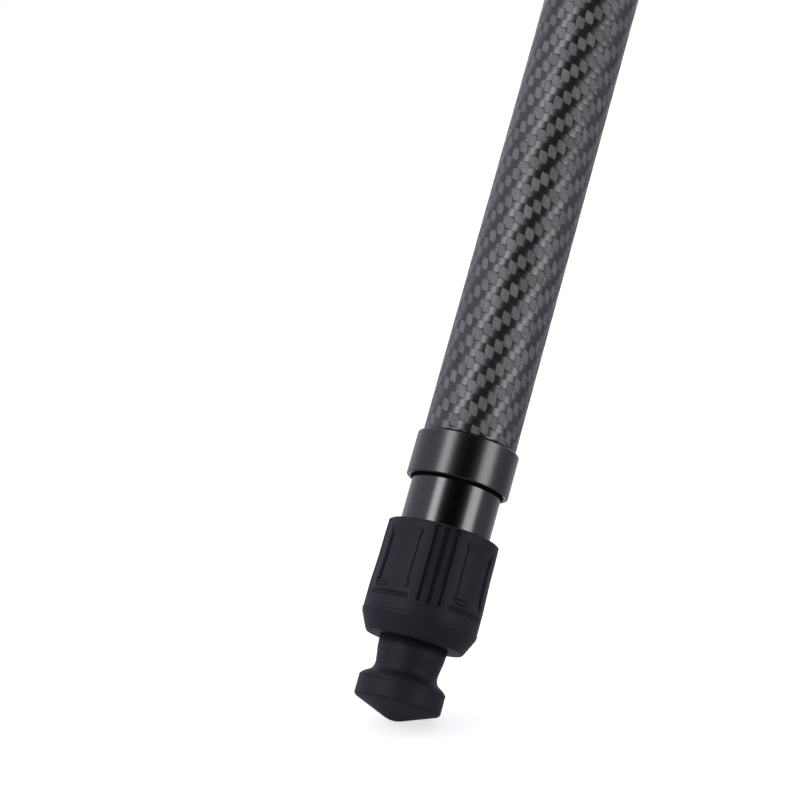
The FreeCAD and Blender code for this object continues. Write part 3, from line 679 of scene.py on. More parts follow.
def mesh_from_faces(name, points, quads, triangles=np.empty((0, 3), int), corner_uv=None):
    """A mesh from arrays. Faces are turned round if they point inwards."""
    fans = np.concatenate([quads[:, [0, 1, 2]], quads[:, [0, 2, 3]], triangles])
    if signed_volume(points - points.mean(0), fans) < 0:
        quads, triangles = quads[:, ::-1], triangles[:, ::-1]
        corner_uv = None if corner_uv is None else corner_uv[:, ::-1]
    loops = np.concatenate([quads.reshape(-1), triangles.reshape(-1)])
    starts = np.concatenate([np.arange(len(quads)) * 4, quads.size + np.arange(len(triangles)) * 3])
    mesh = bpy.data.meshes.new(name)
    mesh.vertices.add(len(points))
    mesh.vertices.foreach_set("co", points.astype(np.float32).reshape(-1))
    mesh.loops.add(len(loops))
    mesh.loops.foreach_set("vertex_index", loops.astype(np.int32))
    mesh.polygons.add(len(starts))
    mesh.polygons.foreach_set("loop_start", starts.astype(np.int32))
    mesh.update(calc_edges=True)
    mesh.validate()
    if corner_uv is not None:
        flat = np.zeros((len(loops), 2), np.float32)
        flat[:quads.size] = corner_uv.reshape(-1, 2)
        mesh.uv_layers.new(name="tows").data.foreach_set("uv", flat.reshape(-1))
    set_smooth(mesh, True)
    return mesh


def ring_mesh(name, rings, looped=False, poles=(False, False), uv=None):
    """Joins rings, an array of ring by point by xyz. Looped joins the last ring to the first.

    A pole closes an end with a fan to its middle. Uv gives the values round, one more than there
    are points in a ring, and the values along.
    """
    count, steps = rings.shape[:2]
    points = rings.reshape(-1, 3)
    table = np.meshgrid(np.arange(count if looped else count - 1), np.arange(steps), indexing="ij")
    row, column = (part.reshape(-1) for part in table)
    next_row, next_column = (row + 1) % count, (column + 1) % steps
    quads = np.stack([row * steps + column, row * steps + next_column,
                      next_row * steps + next_column, next_row * steps + column], 1)
    corner_uv = None
    if uv is not None:
        pairs = ((column, row), (column + 1, row), (column + 1, next_row), (column, next_row))
        corner_uv = np.stack([np.stack([uv[0][first], uv[1][second]], 1) for first, second in pairs], 1)
    fans = [np.empty((0, 3), int)]
    for end, wanted in zip((0, count - 1), poles):
        if wanted:
            here = end * steps + np.arange(steps)
            ahead = np.roll(here, -1)
            pair = (here, ahead) if end else (ahead, here)
            fans.append(np.stack([*pair, np.full(steps, len(points))], 1))
            points = np.concatenate([points, rings[end].mean(0)[None]])
    return mesh_from_faces(name, points, quads, np.concatenate(fans), corner_uv)


def ring_piece(name, rings, material, node, sharp, **shape):
    """A piece made of rings. Edges that turn more than `sharp` degrees stay sharp."""
    mesh = ring_mesh(name, rings, **shape)
    mesh.set_sharp_from_angle(angle=math.radians(sharp))
    return link_piece(name, mesh, material, node)


# %% [markdown]
# ## Turning a CAD piece again
#
# A turned CAD piece arrives as a coarse mesh with knife-sharp edges. Real turned parts have a
# small radius on every edge, and that radius catches the light. The mesh still holds the
# profile: every vertex sits on one of a few circles, and the edges tell which circle follows
# which. `cad_profile` reads that chain, `rounded` puts an arc on each corner, and the result is
# turned again with many more steps. The sizes stay those of the CAD.

# %% Read and round a profile
SAME = 0.004
NEAR = 2.5 * SAME
ROUND_STEPS = 128
SOFT_CORNER = 28.0
LONGEST_CUT = 0.45


def cad_profile(node, axis, keep=None):
    """The chain of (radius, depth) circles of a turned CAD node, and whether it closes on itself.

    Keep is a test on radius and depth that picks the circles of one solid out of several.
    """
    mesh = frame["nodes"][node].data
    radius, depth = axis.sizes(node)
    pairs = np.round(np.stack([radius, depth], 1) / SAME).astype(int)
    rings, owner = np.unique(pairs, axis=0, return_inverse=True)
    owner = owner.reshape(-1)
    centre = np.stack([np.bincount(owner, values) / np.bincount(owner) for values in (radius, depth)], 1)
    label = np.arange(len(rings))
    for one in range(len(rings)):
        near = np.where(np.linalg.norm(centre - centre[one], axis=1) < NEAR)[0]
        label[near] = label[near].min()
    loops = np.empty(len(mesh.loops), np.int32)
    mesh.loops.foreach_get("vertex_index", loops)
    corners = label[owner][loops.reshape(-1, 3)]
    links = {}
    for a, b in np.concatenate([np.unique(corners[:, pair], axis=0) for pair in ([0, 1], [1, 2], [2, 0])]):
        if a != b:
            links.setdefault(int(a), set()).add(int(b))
            links.setdefault(int(b), set()).add(int(a))
    if keep is not None:
        kept = {one for one in links if keep(*centre[one])}
        links = {one: links[one] & kept for one in kept}
    ends = sorted(one for one, others in links.items() if len(others) == 1)
    chain = [ends[0] if ends else min(links)]
    while ahead := [one for one in sorted(links[chain[-1]]) if one not in chain]:
        chain.append(ahead[0])
    return centre[chain], not ends


def rounded(profile, edge, closed, steps=3, soft=SOFT_CORNER):
    """Replaces each sharp corner by an arc of the given radius, smaller where the sides are short."""
    profile = np.asarray(profile, float)
    made = []
    for index, here in enumerate(profile):
        back, ahead = profile[index - 1] - here, profile[(index + 1) % len(profile)] - here
        sides = np.linalg.norm(back), np.linalg.norm(ahead)
        at_end = not closed and index in (0, len(profile) - 1)
        inside = math.acos(float(np.clip(back @ ahead / sides[0] / sides[1], -1, 1))) if not at_end else 0
        if at_end or math.degrees(math.pi - inside) < soft:
            made.append(here[None])
            continue
        cut = min(edge / math.tan(inside / 2), LONGEST_CUT * min(sides))
        part = np.linspace(0, 1, steps + 1)[:, None]
        first, last = here + back * (cut / sides[0]), here + ahead * (cut / sides[1])
        made.append((1 - part) ** 2 * first + 2 * part * (1 - part) * here + part ** 2 * last)
    return np.concatenate(made)


def add_weighted_normals(piece):
    """Lets broad faces keep their flat shade beside narrow rounded edges."""
    made = piece.modifiers.new("even_shade", "WEIGHTED_NORMAL")
    made.weight = 60
    made.keep_sharp = True


def close_profile(profile, closed):
    """The profile less its points on the axis, and whether its two ends are poles."""
    if closed:
        return profile, (False, False)
    first, last = (1 if profile[end][0] < SAME else 0 for end in (0, -1))
    return profile[first:len(profile) - last], (True, True)


def round_angles(steps):
    return np.arange(steps) / steps * 2 * math.pi


def turned_piece(name, profile, closed, axis, material, node, steps=ROUND_STEPS, tows=0, **said):
    """A profile turned about an axis. With tows, the piece gets a UV map that counts them."""
    profile, poles = close_profile(profile, closed)
    rings = axis.place(profile[:, :1], round_angles(steps), profile[:, 1:])
    uv = None
    if tows:
        turn = np.arange(steps + 1) / steps
        spread = TOW_SPREAD * np.sin(2 * math.pi * turn - camera_side)
        uv = (tows * turn + LAY_ROUND - spread, (profile[:, 1] - tube_end) / TOW_WIDTH + LAY_ALONG)
    mesh = ring_mesh(name, rings, looped=closed, poles=poles, uv=uv)
    piece = link_piece(name, mesh, material, node, **said)
    add_weighted_normals(piece)
    return piece


def turned_again(node, axis, edge, material, ending="_turned", keep=None, tows=0):
    """A CAD node's own profile with rounded edges, in place of the node."""
    profile, closed = cad_profile(node, axis, keep)
    turned_piece(node + ending, rounded(profile, edge, closed), closed, axis, material, node, tows=tows)


def turned_ring(name, inner, outer, top, low, edge, axis, material, node, **said):
    """A ring with a rectangular section, and rounded edges if edge isn't zero."""
    corners = np.array([(outer, top), (outer, low), (inner, low), (inner, top)])
    corners = rounded(corners, edge, True) if edge else corners
    turned_piece(name, corners, True, axis, material, node, **said)


# %% [markdown]
# ## Tubes
#
# Five sizes of tube are carbon: the leg's upper tube, the three that slide out of it, and the
# column. A whole number of four-tow repeats goes round each, so the weave meets itself without
# a seam. The tows in the photograph are 4% wider than that, so the map spreads them a little on
# one side of the tube and draws them together on the other. A sliding tube also carries its
# lock cone, which is metal and a piece of its own.

# %% Carbon tubes
REPEAT = 4
LAY_ALONG, LAY_ROUND, TOW_SPREAD = 3.18, 0.5, 0.27
TUBE_WALL = 1.2
TUBE_EDGE = 0.2
SECTIONS = (2, 3, 4)


def tows_round(radius):
    return REPEAT * round(2 * math.pi * radius / TOW_WIDTH / REPEAT)


def carbon_tube(node, axis):
    radius, _ = axis.sizes(node)
    turned_again(node, axis, TUBE_EDGE, CARBON, tows=tows_round(radius.max()))


def sliding_tube(leg, number):
    """The tube below its lock cone's flange, and the cone with the shank bonded inside."""
    node, axis = "%s_section_%d" % (leg, number), leg_axes[leg]
    radius, depth = axis.sizes(node)
    outer, low = radius.max(), depth.max()
    flange, bore = depth[radius > outer - SAME].min(), outer - TUBE_WALL
    turned_ring(node + "_tube", bore, outer, flange, low, TUBE_EDGE, axis, CARBON, node,
                tows=tows_round(outer))
    turned_again(node, axis, TUBE_EDGE, TURNED_STEEL, "_cone",
                 keep=lambda ring, where: abs(ring - bore) > SAME and where < low - 1)


for leg in LEGS:
    carbon_tube(leg + "_upper_tube", leg_axes[leg])
    for number in SECTIONS:
        sliding_tube(leg, number)
carbon_tube("column_tube", up_axis)
print("tows round a leg:", tows_round(tube_radius))

# %% [markdown]
# ## Collar, seal and ferrule
#
# The collar is a plain blasted ring bonded to the tube, and a thin black ring round the tube at
# its top edge paints the contact shadow between collar and tube. Under it a black rubber seal
# fills the gap, and its near-black colour also paints the shade in that gap. Then comes the
# polished ferrule that the grip is moulded on. Three finishes side by side, satin, matt and gloss,
# are most of what the eye reads here. The photograph shows the collar and the seal a little
# longer than the CAD does.

# %% Leg end in metal
COLLAR_EDGE, COLLAR_UP, COLLAR_DOWN = 0.15, 0.7, 0.5
# Sizes of the black ring that paints the contact shadow at the collar's top edge.
SHADOW_RING_SUNK, SHADOW_RING_PROUD, SHADOW_RING_TALL = 0.1, 0.2, 0.42
FERRULE_EDGE = 0.25
SEAL_RADIUS, SEAL_INNER = 13.8, 12.45
SEAL_EDGE, SEAL_DOWN, SEAL_MARGIN = 0.1, 0.25, 0.02


def leg_end_metal(leg):
    axis, node, collar = leg_axes[leg], leg + "_ferrule", leg + "_collar"
    turned_again(node, axis, FERRULE_EDGE, GLOSS_BLACK,
                 keep=lambda ring, _: min(abs(ring - SEAL_RADIUS), abs(ring - SEAL_INNER)) > SEAL_MARGIN)
    radius, depth = axis.sizes(node)
    seal = depth[radius > SEAL_RADIUS - SEAL_MARGIN]
    # The seal is a rubber ring in that gap; its near-black colour, far darker than the moulded rubber, also
    # paints the shade there.
    turned_ring(leg + "_seal", SEAL_INNER, SEAL_RADIUS, seal.min(), seal.max() + SEAL_DOWN, SEAL_EDGE,
                axis, SHADE_AND_LINE_BLACK, node)
    profile, closed = cad_profile(collar, axis)
    top, low = profile[:, 1].min(), profile[:, 1].max()
    profile[:, 1] += np.where(profile[:, 1] < (top + low) / 2, -COLLAR_UP, COLLAR_DOWN)
    turned_piece(collar + "_turned", rounded(profile, COLLAR_EDGE, closed), closed, axis, SATIN_BLACK, collar)
    # A thin black ring round the tube at the collar's top edge: painted contact shadow between collar and
    # tube.
    turned_ring(collar + "_joint", tube_radius - SHADOW_RING_SUNK, tube_radius + SHADOW_RING_PROUD,
                top - COLLAR_UP - SHADOW_RING_TALL, top, 0, axis, SHADE_AND_LINE_BLACK, collar, slot="satin_black_metal")


for leg in LEGS:
    leg_end_metal(leg)

# %% [markdown]
# ## The twist grip
#
# This is the piece that takes most skill on the real leg: a rubber sleeve moulded on the
# ferrule, with three finger grooves, a waisted panel and a slim bar, four times round. It could
# be cut with booleans, but moulded rubber has no sharp edges. Here the whole wall is one
# surface: the radius is a smooth function of the angle and the depth, and each groove or panel
# takes a little off it through a soft window. The sample lines crowd together where the
# windows have their edges, so the walls stay crisp with few faces.

# %% Soft windows and crowded samples
FINE_SAMPLES = 4000


def soft_step(value, low, high):
    part = np.clip((value - low) / (high - low), 0, 1)
    return part * part * (3 - 2 * part)


def soft_box(value, half, soft):
    """One inside plus or minus half, zero outside, with a smooth edge of the given width."""
    return soft_step(-np.abs(value), -half - soft / 2, -half + soft / 2)


def crowded(low, high, centres, reach, count, push=6.0):
    """Samples from low to high, packed closer near the centres: the inverse of a summed density."""
    fine = np.linspace(low, high, FINE_SAMPLES)
    density = 1 + sum(push * np.exp(-((fine - centre) / reach) ** 2) for centre in centres)
    total = np.concatenate([[0], np.cumsum((density[1:] + density[:-1]) / 2)])
    return np.interp(np.linspace(0, total[-1], count), total, fine)


# %% [markdown]
# The sizes of the pattern are measured from the photograph: angles from the middle of a groove
# group, depths from the grip's upper edge. The panel has a waist with a small bulge above and
# below, and a little raised tab in one lower corner. A fine line is scribed round each of them.

# %% The grip's wall
GRIP_GROUPS = 4
GRIP_TURN = 35.9
GROOVE_ANGLES = (-10.0, 0.0, 10.0)
GROOVE_HALF, GROOVE_DEPTH, GROOVE_START, GROOVE_END, GROOVE_SOFT = 0.60, 1.0, 0.25, 22.7, 0.34
STUB_HALF, STUB_FADE, STUB_END = 0.9, 1.02, 1.7
PANEL_SIDE = ((1.4, 17.4), (2.6, 20.6), (3.8, 20.6), (4.4, 19.3), (18.0, 19.3), (18.5, 21.0), (19.1, 21.0),
              (20.7, 17.4))
PANEL_DEPTH, PANEL_SOFT = 0.62, 0.30
PANEL_FADE_TOP, PANEL_FADE_END = 4.2, 2.6
SCRIBE_DEPTH, SCRIBE_WIDE, SCRIBE_SHORT, SCRIBE_FADE = 0.36, 0.24, 0.8, 0.6
TAB_ANGLE, TAB_HALF_ANGLE, TAB_MIDDLE, TAB_TALL, TAB_SHARE = -11.0, 6.8, 19.7, 0.62, 0.85
BAR_HALF_ANGLE, BAR_MIDDLE, BAR_TALL, BAR_DEPTH, BAR_SCRIBE = 23.4, 22.2, 0.48, 0.36, 0.6
RIDGE_DEPTH, RIDGE_RISE, RIDGE_WIDE = 26.4, 0.19, 0.14
LIP_DEPTH, LIP_RISE, LIP_WIDE = -0.18, 0.12, 0.16
GRIP_RIM = ((13.45, -0.5), (16.15, -0.5), (16.45, -0.2), (16.55, 0.5))
GRIP_SKIRT = ((16.55, 0.5), (16.64, 4.0), (16.68, 10.5), (17.0, 18.5), (17.03, 27.3), (14.75, 32.05),
              (14.3, 32.6))
RIM_EDGE, SKIRT_EDGE, SKIRT_SOFT = 0.12, 0.9, 4.0
WALL_MEAN = 17.0
GRIP_BORE, GRIP_FLOOR, STUD_BORE = 13.45, 24.6, 5.05
SAMPLES_ROUND, SAMPLES_DOWN = 448, 180
EDGE_DEPTHS = (-0.15, 0.4, 1.7, 4.1, 18.3, 19.1, 20.3, 21.7, 22.7, RIDGE_DEPTH, 32.3)
PANEL_MARKS = (17.4, 19.3, 21.6, 23.4)
DEPTH_REACH, MARK_REACH, MARK_PUSH = 0.45, 0.9, 3.0


def scribed(away, wide=SCRIBE_WIDE):
    """A fine line where the distance is zero."""
    return np.exp(-(away / wide) ** 2)


def soft_rectangle(across, half_angle, down, tall):
    """One inside a rectangle on the wall and zero outside, and how far each point lies past its edge."""
    half = half_angle * np.radians(1.0) * WALL_MEAN
    inside = soft_box(across, half, PANEL_SOFT) * soft_box(down, tall, PANEL_SOFT)
    return inside, np.maximum(np.abs(across) - half, np.abs(down) - tall)


def grip_radius(angle, depth, base):
    """The wall's radius: the base profile less the grooves, the panels and the bars."""
    step = 360.0 / GRIP_GROUPS
    turn = (np.degrees(angle) - GRIP_TURN + step / 2) % step - step / 2
    other = (turn + step) % step - step / 2
    degree = np.radians(1.0) * base
    in_stub = soft_step(depth, GROOVE_START, GROOVE_START + GROOVE_SOFT)
    in_stub = in_stub * (1 - soft_step(depth, STUB_FADE, STUB_END))
    groove = 0
    for centre in GROOVE_ANGLES:
        away = (turn - centre) * degree
        slot, stub = (soft_box(away, half, GROOVE_SOFT) for half in (GROOVE_HALF, STUB_HALF))
        groove = np.maximum(groove, slot + (stub - slot) * in_stub)
    middle, tall = (GROOVE_START + GROOVE_END) / 2, (GROOVE_END - GROOVE_START) / 2
    groove = groove * soft_box(depth - middle, tall, GROOVE_SOFT)
    depths, halves = zip(*PANEL_SIDE)
    top, low = depths[0], depths[-1]
    edge = (np.interp(depth, depths, halves) - np.abs(other)) * degree
    panel = soft_step(edge, -PANEL_SOFT / 2, PANEL_SOFT / 2) * soft_step(depth, top, top + PANEL_FADE_TOP)
    panel = panel * (1 - soft_step(depth, low - PANEL_FADE_END, low))
    tab, tab_edge = soft_rectangle((other - TAB_ANGLE) * degree, TAB_HALF_ANGLE, depth - TAB_MIDDLE, TAB_TALL)
    bar, bar_edge = soft_rectangle(other * degree, BAR_HALF_ANGLE, depth - BAR_MIDDLE, BAR_TALL)
    scribe = scribed(edge) * soft_box(depth - (top + low) / 2, (low - top) / 2 - SCRIBE_SHORT, SCRIBE_FADE)
    scribe = np.maximum(scribe, scribed(tab_edge) * (edge > -PANEL_SOFT))
    scribe = np.maximum(scribe, BAR_SCRIBE * scribed(bar_edge))
    ridge = RIDGE_RISE * scribed(depth - RIDGE_DEPTH, RIDGE_WIDE)
    lip = LIP_RISE * scribed(depth - LIP_DEPTH, LIP_WIDE)
    cut = GROOVE_DEPTH * groove + PANEL_DEPTH * panel * (1 - TAB_SHARE * tab) + BAR_DEPTH * bar
    return base - cut - SCRIBE_DEPTH * scribe + ridge + lip


def along_profile(profile, count, centres, reach):
    """Points along a polyline, crowded near some depths."""
    length = np.concatenate([[0], np.cumsum(np.linalg.norm(np.diff(profile, axis=0), axis=1))])
    where = crowded(0, length[-1], np.interp(centres, profile[:, 1], length), reach, count)
    return np.stack([np.interp(where, length, profile[:, axis]) for axis in (0, 1)], 1)


def grip_angles():
    """Angles round the grip, crowded at the edges of the grooves, the panels and the bars."""
    step = 360.0 / GRIP_GROUPS
    half = math.degrees(GROOVE_HALF / WALL_MEAN)
    marks = [centre + side * half for centre in GROOVE_ANGLES for side in (-1, 1)]
    marks += [step / 2 + side * angle for side in (-1, 1) for angle in PANEL_MARKS]
    quarter = crowded(-step / 2, step / 2, [(mark + step / 2) % step - step / 2 for mark in marks],
                      MARK_REACH, SAMPLES_ROUND // GRIP_GROUPS + 1, MARK_PUSH)[:-1]
    return np.radians(np.concatenate([quarter + GRIP_TURN + group * step for group in range(GRIP_GROUPS)]))


def make_grip(leg):
    node, axis = leg + "_twist_grip", leg_axes[leg]
    top = axis.sizes(node)[1].min()
    skirt = rounded(GRIP_SKIRT, SKIRT_EDGE, False, steps=6, soft=SKIRT_SOFT)
    smooth_wall = np.concatenate([rounded(GRIP_RIM, RIM_EDGE, False), skirt[1:]])
    wall = along_profile(smooth_wall, SAMPLES_DOWN, EDGE_DEPTHS, DEPTH_REACH)
    angle = grip_angles()
    outside = axis.place(grip_radius(angle, wall[:, 1:], wall[:, :1]), angle, top + wall[:, 1:])
    inner = np.array([(STUD_BORE, wall[-1, 1]), (STUD_BORE, GRIP_FLOOR), (GRIP_BORE, GRIP_FLOOR)])
    inside = axis.place(inner[:, :1], angle, top + inner[:, 1:])
    return ring_piece(node + "_moulded", np.concatenate([outside, inside]), RUBBER, node, sharp=50,
                      looped=True)


for leg in LEGS:
    grip = make_grip(leg)
print("grip faces:", len(grip.data.polygons))

# %% [markdown]
# ## The rubber foot
#
# The foot is one turned shape: a waisted neck that flares in a quarter curve to a thin lip, a
# short disc, and a blunt cone with a round tip. The profile is measured from the photograph,
# and every corner gets the radius that moulded rubber has.

# %% Foot
FOOT_PROFILE = (
    (10.15, 0.0), (9.86, 3.8), (9.6, 5.2), (9.4, 6.7), (9.24, 7.9), (9.33, 8.9), (9.6, 9.7), (10.1, 10.4),
    (10.9, 10.9), (11.75, 11.4), (12.35, 11.95), (12.78, 12.45), (12.85, 12.9), (12.85, 13.15),
    (12.70, 13.25), (12.70, 13.4), (12.82, 13.55), (12.82, 18.1), (12.3, 18.75), (2.6, 22.65), (1.2, 23.05),
    (0.0, 23.2),
)
FOOT_EDGE, FOOT_SOFT = 0.5, 8.0
FOOT_BORE, FOOT_BORE_END = 5.05, 11.1

for leg in LEGS:
    node, axis = leg + "_foot", leg_axes[leg]
    inside = [(0.0, FOOT_BORE_END), (FOOT_BORE, FOOT_BORE_END), (FOOT_BORE, 0.0)]
    profile = np.concatenate([inside, rounded(FOOT_PROFILE, FOOT_EDGE, False, steps=4, soft=FOOT_SOFT)])
    profile[:, 1] += axis.sizes(node)[1].min()
    turned_piece(node + "_moulded", profile, False, axis, RUBBER, node)

# %% [markdown]
# ## Castings and milled pieces
#
# The hub, the leg tops, the clamp and the plate aren't turned, and their CAD shapes are right as
# they are. What they lack is the small radius on every edge. Each is a copy of the CAD mesh with
# its doubles merged and its flat faces made whole, so that a bevel finds only the real edges.

# %% Copies with soft edges
EDGE_ANGLE, FLAT_ANGLE = math.radians(32), math.radians(0.6)
DOUBLES = 0.002
SMALL_EDGES = {"spider": 0.6, "column_hook": 0.5, "head_housing": 0.5, "clamp_body": 0.4, "clamp_jaw": 0.4,
               "quick_plate": 0.4}


def soft_copy(node, edge, material, steps=2):
    mesh = frame["nodes"][node].data.copy()
    work = bmesh.new()
    work.from_mesh(mesh)
    bmesh.ops.remove_doubles(work, verts=work.verts, dist=DOUBLES * MM)
    bmesh.ops.dissolve_limit(work, angle_limit=FLAT_ANGLE, verts=work.verts, edges=work.edges)
    work.to_mesh(mesh)
    work.free()
    set_smooth(mesh, True)
    mesh.set_sharp_from_angle(angle=EDGE_ANGLE)
    piece = link_piece(node + "_finished", mesh, material, node)
    bevel = piece.modifiers.new("edge_radius", "BEVEL")
    bevel.width, bevel.segments = edge * MM, steps
    bevel.limit_method, bevel.angle_limit = "ANGLE", EDGE_ANGLE
    bevel.miter_outer = "MITER_ARC"
    add_weighted_normals(piece)


for leg in LEGS:
    soft_copy(leg + "_yoke", 0.7, SATIN_BLACK, steps=3)
    soft_copy(leg + "_angle_tab", 0.5, TAB_GREY)
for node, edge in SMALL_EDGES.items():
    soft_copy(node, edge, SATIN_BLACK)

# %% [markdown]
# ## Turned pieces at the top
#
# The platform and the head's base are turned again from their CAD profiles. The ball is turned
# from its own sizes, because a sphere's mesh has too many circles to read back: its flat
# underside, its round, its neck and the little round table that carries the clamp.

# %% Platform, base and ball
TOP_EDGE = 0.5
for node in ("column_platform", "head_base"):
    turned_again(node, up_axis, TOP_EDGE, SATIN_BLACK)

BALL_FLAT, BALL_STEPS = 9.0, 60
NECK_RADIUS, NECK_FILLET = 6.5, 1.2
TABLE_RADIUS, TABLE_LOW, TABLE_HIGH = 11.0, 23.0, 26.0
STUD_RADIUS, STUD_TOP = 3.0, 30.0

ball_radius = up_axis.sizes("ball_stem")[0].max()
ball_middle = joints["ball_tilt"]["pos_m"][2] / MM
turn = np.linspace(math.asin(-BALL_FLAT / ball_radius), math.acos(NECK_RADIUS / ball_radius), BALL_STEPS)
upper = [(NECK_RADIUS, TABLE_LOW - NECK_FILLET), (NECK_RADIUS + NECK_FILLET, TABLE_LOW),
         (TABLE_RADIUS, TABLE_LOW), (TABLE_RADIUS, TABLE_HIGH), (STUD_RADIUS, TABLE_HIGH),
         (STUD_RADIUS, STUD_TOP), (0.0, STUD_TOP)]
ball_profile = np.concatenate([[(0.0, -BALL_FLAT)],
                               np.stack([ball_radius * np.cos(turn), ball_radius * np.sin(turn)], 1), upper])
ball_profile = rounded(ball_profile, TOP_EDGE, False) + (0.0, ball_middle)
turned_piece("ball_stem_turned", ball_profile, False, up_axis, BALL_GREY, "ball_stem")
print("ball radius %.2f mm, middle at %.1f mm" % (ball_radius, ball_middle))

# %% [markdown]
# ## Fluted knobs
#
# A fluted knob is a turned profile whose outline isn't a circle: round cutters bite evenly
# spaced hollows in it. The outline is the smaller of the circle and the near side of the cutter
# circles, and a soft minimum rounds the crests. Each point of the profile is then held inside
# that outline, so the chamfers and the end faces need no special care.

# %% Fluted outlines
CREST_BLEND, FLUTED_SHARE = 0.25, 2.5


def soft_minimum(first, second, width):
    """The smaller of two values, with the meeting corner rounded over a width."""
    part = np.clip(0.5 + 0.5 * (second - first) / width, 0, 1)
    return second + (first - second) * part - width * part * (1 - part)


def fluted_piece(name, profile, closed, axis, flutes, bite, cutter, node, steps=240):
    """A turned rubber piece with evenly spaced round hollows in its outline."""
    profile, poles = close_profile(profile, closed)
    angle = round_angles(steps)
    outer = profile[:, 0].max()
    step = 2 * math.pi / flutes
    turn = (angle + step / 2) % step - step / 2
    centre = outer - bite + cutter
    under = cutter ** 2 - (centre * np.sin(turn)) ** 2
    outline = np.where(under > 0, centre * np.cos(turn) - np.sqrt(np.clip(under, 0, None)), outer + 1)
    radius = np.where(profile[:, :1] < outer - FLUTED_SHARE * bite, profile[:, :1],
                      soft_minimum(profile[:, :1], outline, CREST_BLEND))
    ring_piece(name, axis.place(radius, angle, profile[:, 1:]), RUBBER, node, sharp=45, looped=closed,
               poles=poles)


# %% [markdown]
# The column's lock ring is one fluted ring of black rubber-coated metal. The two knobs of the
# head and the clamp's knob are a fluted rubber barrel with a metal cap let into the end.

# %% Lock ring and knobs
LOCK_RING_FLUTES, LOCK_RING_BITE, LOCK_RING_CUTTER = 12, 1.0, 3.0
LOCK_RING_BORE, LOCK_RING_LIP, LOCK_RING_LEDGE = 16.55, 12.8, 31.6
LOCK_RING_CHAMFER, LOCK_RING_EDGE = 1.2, 0.7
KNOB_FLUTES, KNOB_BITE, KNOB_CHAMFER, KNOB_EDGE = 8, 0.8, 1.0, 0.6
CAP_SHARE, CAP_SINK, CAP_EDGE = 0.62, 0.5, 0.12
CAP_GAP, CAP_DOWN, CAP_RIM, CAP_SLOPE, CAP_DISH = 0.1, 0.15, 0.7, 0.3, 0.2
SHAFT_INTO, SHAFT_EDGE = 0.2, 0.3
KNOB_SHAFTS = {"ball_lock_knob": ("ball_knob_turn", 3.0), "pan_knob": ("pan_knob_turn", 2.0),
               "clamp_knob": ("clamp_knob_turn", 1.7)}


def chamfered(inner, outer, low, high, cut):
    """The outer side of a barrel, from one end face to the other."""
    return [(inner, low), (outer - cut, low), (outer, low + cut), (outer, high - cut), (outer - cut, high)]


def make_lock_ring():
    node = "column_lock_ring"
    radius, height = up_axis.sizes(node)
    low, high = height.min(), height.max()
    ledge = hero.start[2] / MM + LOCK_RING_LEDGE
    corners = chamfered(LOCK_RING_BORE, radius.max(), low, high, LOCK_RING_CHAMFER)
    corners += [(LOCK_RING_LIP, high), (LOCK_RING_LIP, ledge), (LOCK_RING_BORE, ledge)]
    fluted_piece(node + "_moulded", rounded(corners, LOCK_RING_EDGE, True), True, up_axis, LOCK_RING_FLUTES,
                 LOCK_RING_BITE, LOCK_RING_CUTTER, node, steps=360)


def make_knob(node, joint, shaft_radius):
    """A knob along its joint's axis: shaft, fluted barrel, a shallow cup in the end and a cap in it."""
    points = node_points(node)
    middle = (points.max(0) + points.min(0)) / 2
    along = np.array(joint["axis"], float)
    if along[:2] @ middle[:2] < 0:
        along = -along
    axis = Axis(joint["pos_m"], along, world_up)
    radius, depth = axis.measure(points)
    outer, tip = radius.max(), depth.max()
    back, sunk, cap = depth[radius > shaft_radius + 1].min(), tip - CAP_SINK, CAP_SHARE * outer
    barrel = chamfered(0.0, outer, back, tip, KNOB_CHAMFER) + [(cap, tip), (cap, sunk), (0.0, sunk)]
    fluted_piece(node + "_barrel", rounded(barrel, KNOB_EDGE, False), False, axis, KNOB_FLUTES, KNOB_BITE,
                 outer / 4, node)
    wall, face = cap - CAP_GAP, tip - CAP_DOWN
    dish = face - CAP_DISH
    disc = [(0.0, sunk), (wall, sunk), (wall, face), (wall - CAP_RIM, face),
            (wall - CAP_RIM - CAP_SLOPE, dish), (0.0, dish)]
    turned_piece(node + "_cap", rounded(disc, CAP_EDGE, False), False, axis, KNOB_METAL, node, replace=False)
    inner, into = depth.min(), back + SHAFT_INTO
    shaft = [(0.0, inner), (shaft_radius, inner), (shaft_radius, into), (0.0, into)]
    turned_piece(node + "_shaft", rounded(shaft, SHAFT_EDGE, False), False, axis, TURNED_STEEL, node,
                 steps=48, replace=False)


make_lock_ring()
for node, (joint, shaft_radius) in KNOB_SHAFTS.items():
    make_knob(node, joints[joint], shaft_radius)

# %% [markdown]
# ## Hinge pins
#
# Each leg swings on a steel pin with a wide head on both sides, and each head has a hexagon
# socket for the key that sets the hinge's friction. The socket is a ring of points whose radius
# follows a hexagon instead of a circle, so it comes out of the same ring mesh.

# %% Pins with hexagon sockets
HEX_HALF, HEX_DEEP, HEX_MOUTH, HEX_MOUTH_DEEP = 2.5, 1.5, 1.12, 0.3
PIN_HEAD_THICK, PIN_HEAD_EDGE, PIN_BACK_EDGE, ARC_SHARE = 2.0, 0.5, 0.15, 0.3
PIN_STEPS = 96
AT_HINGE = (8.0, 30.0)


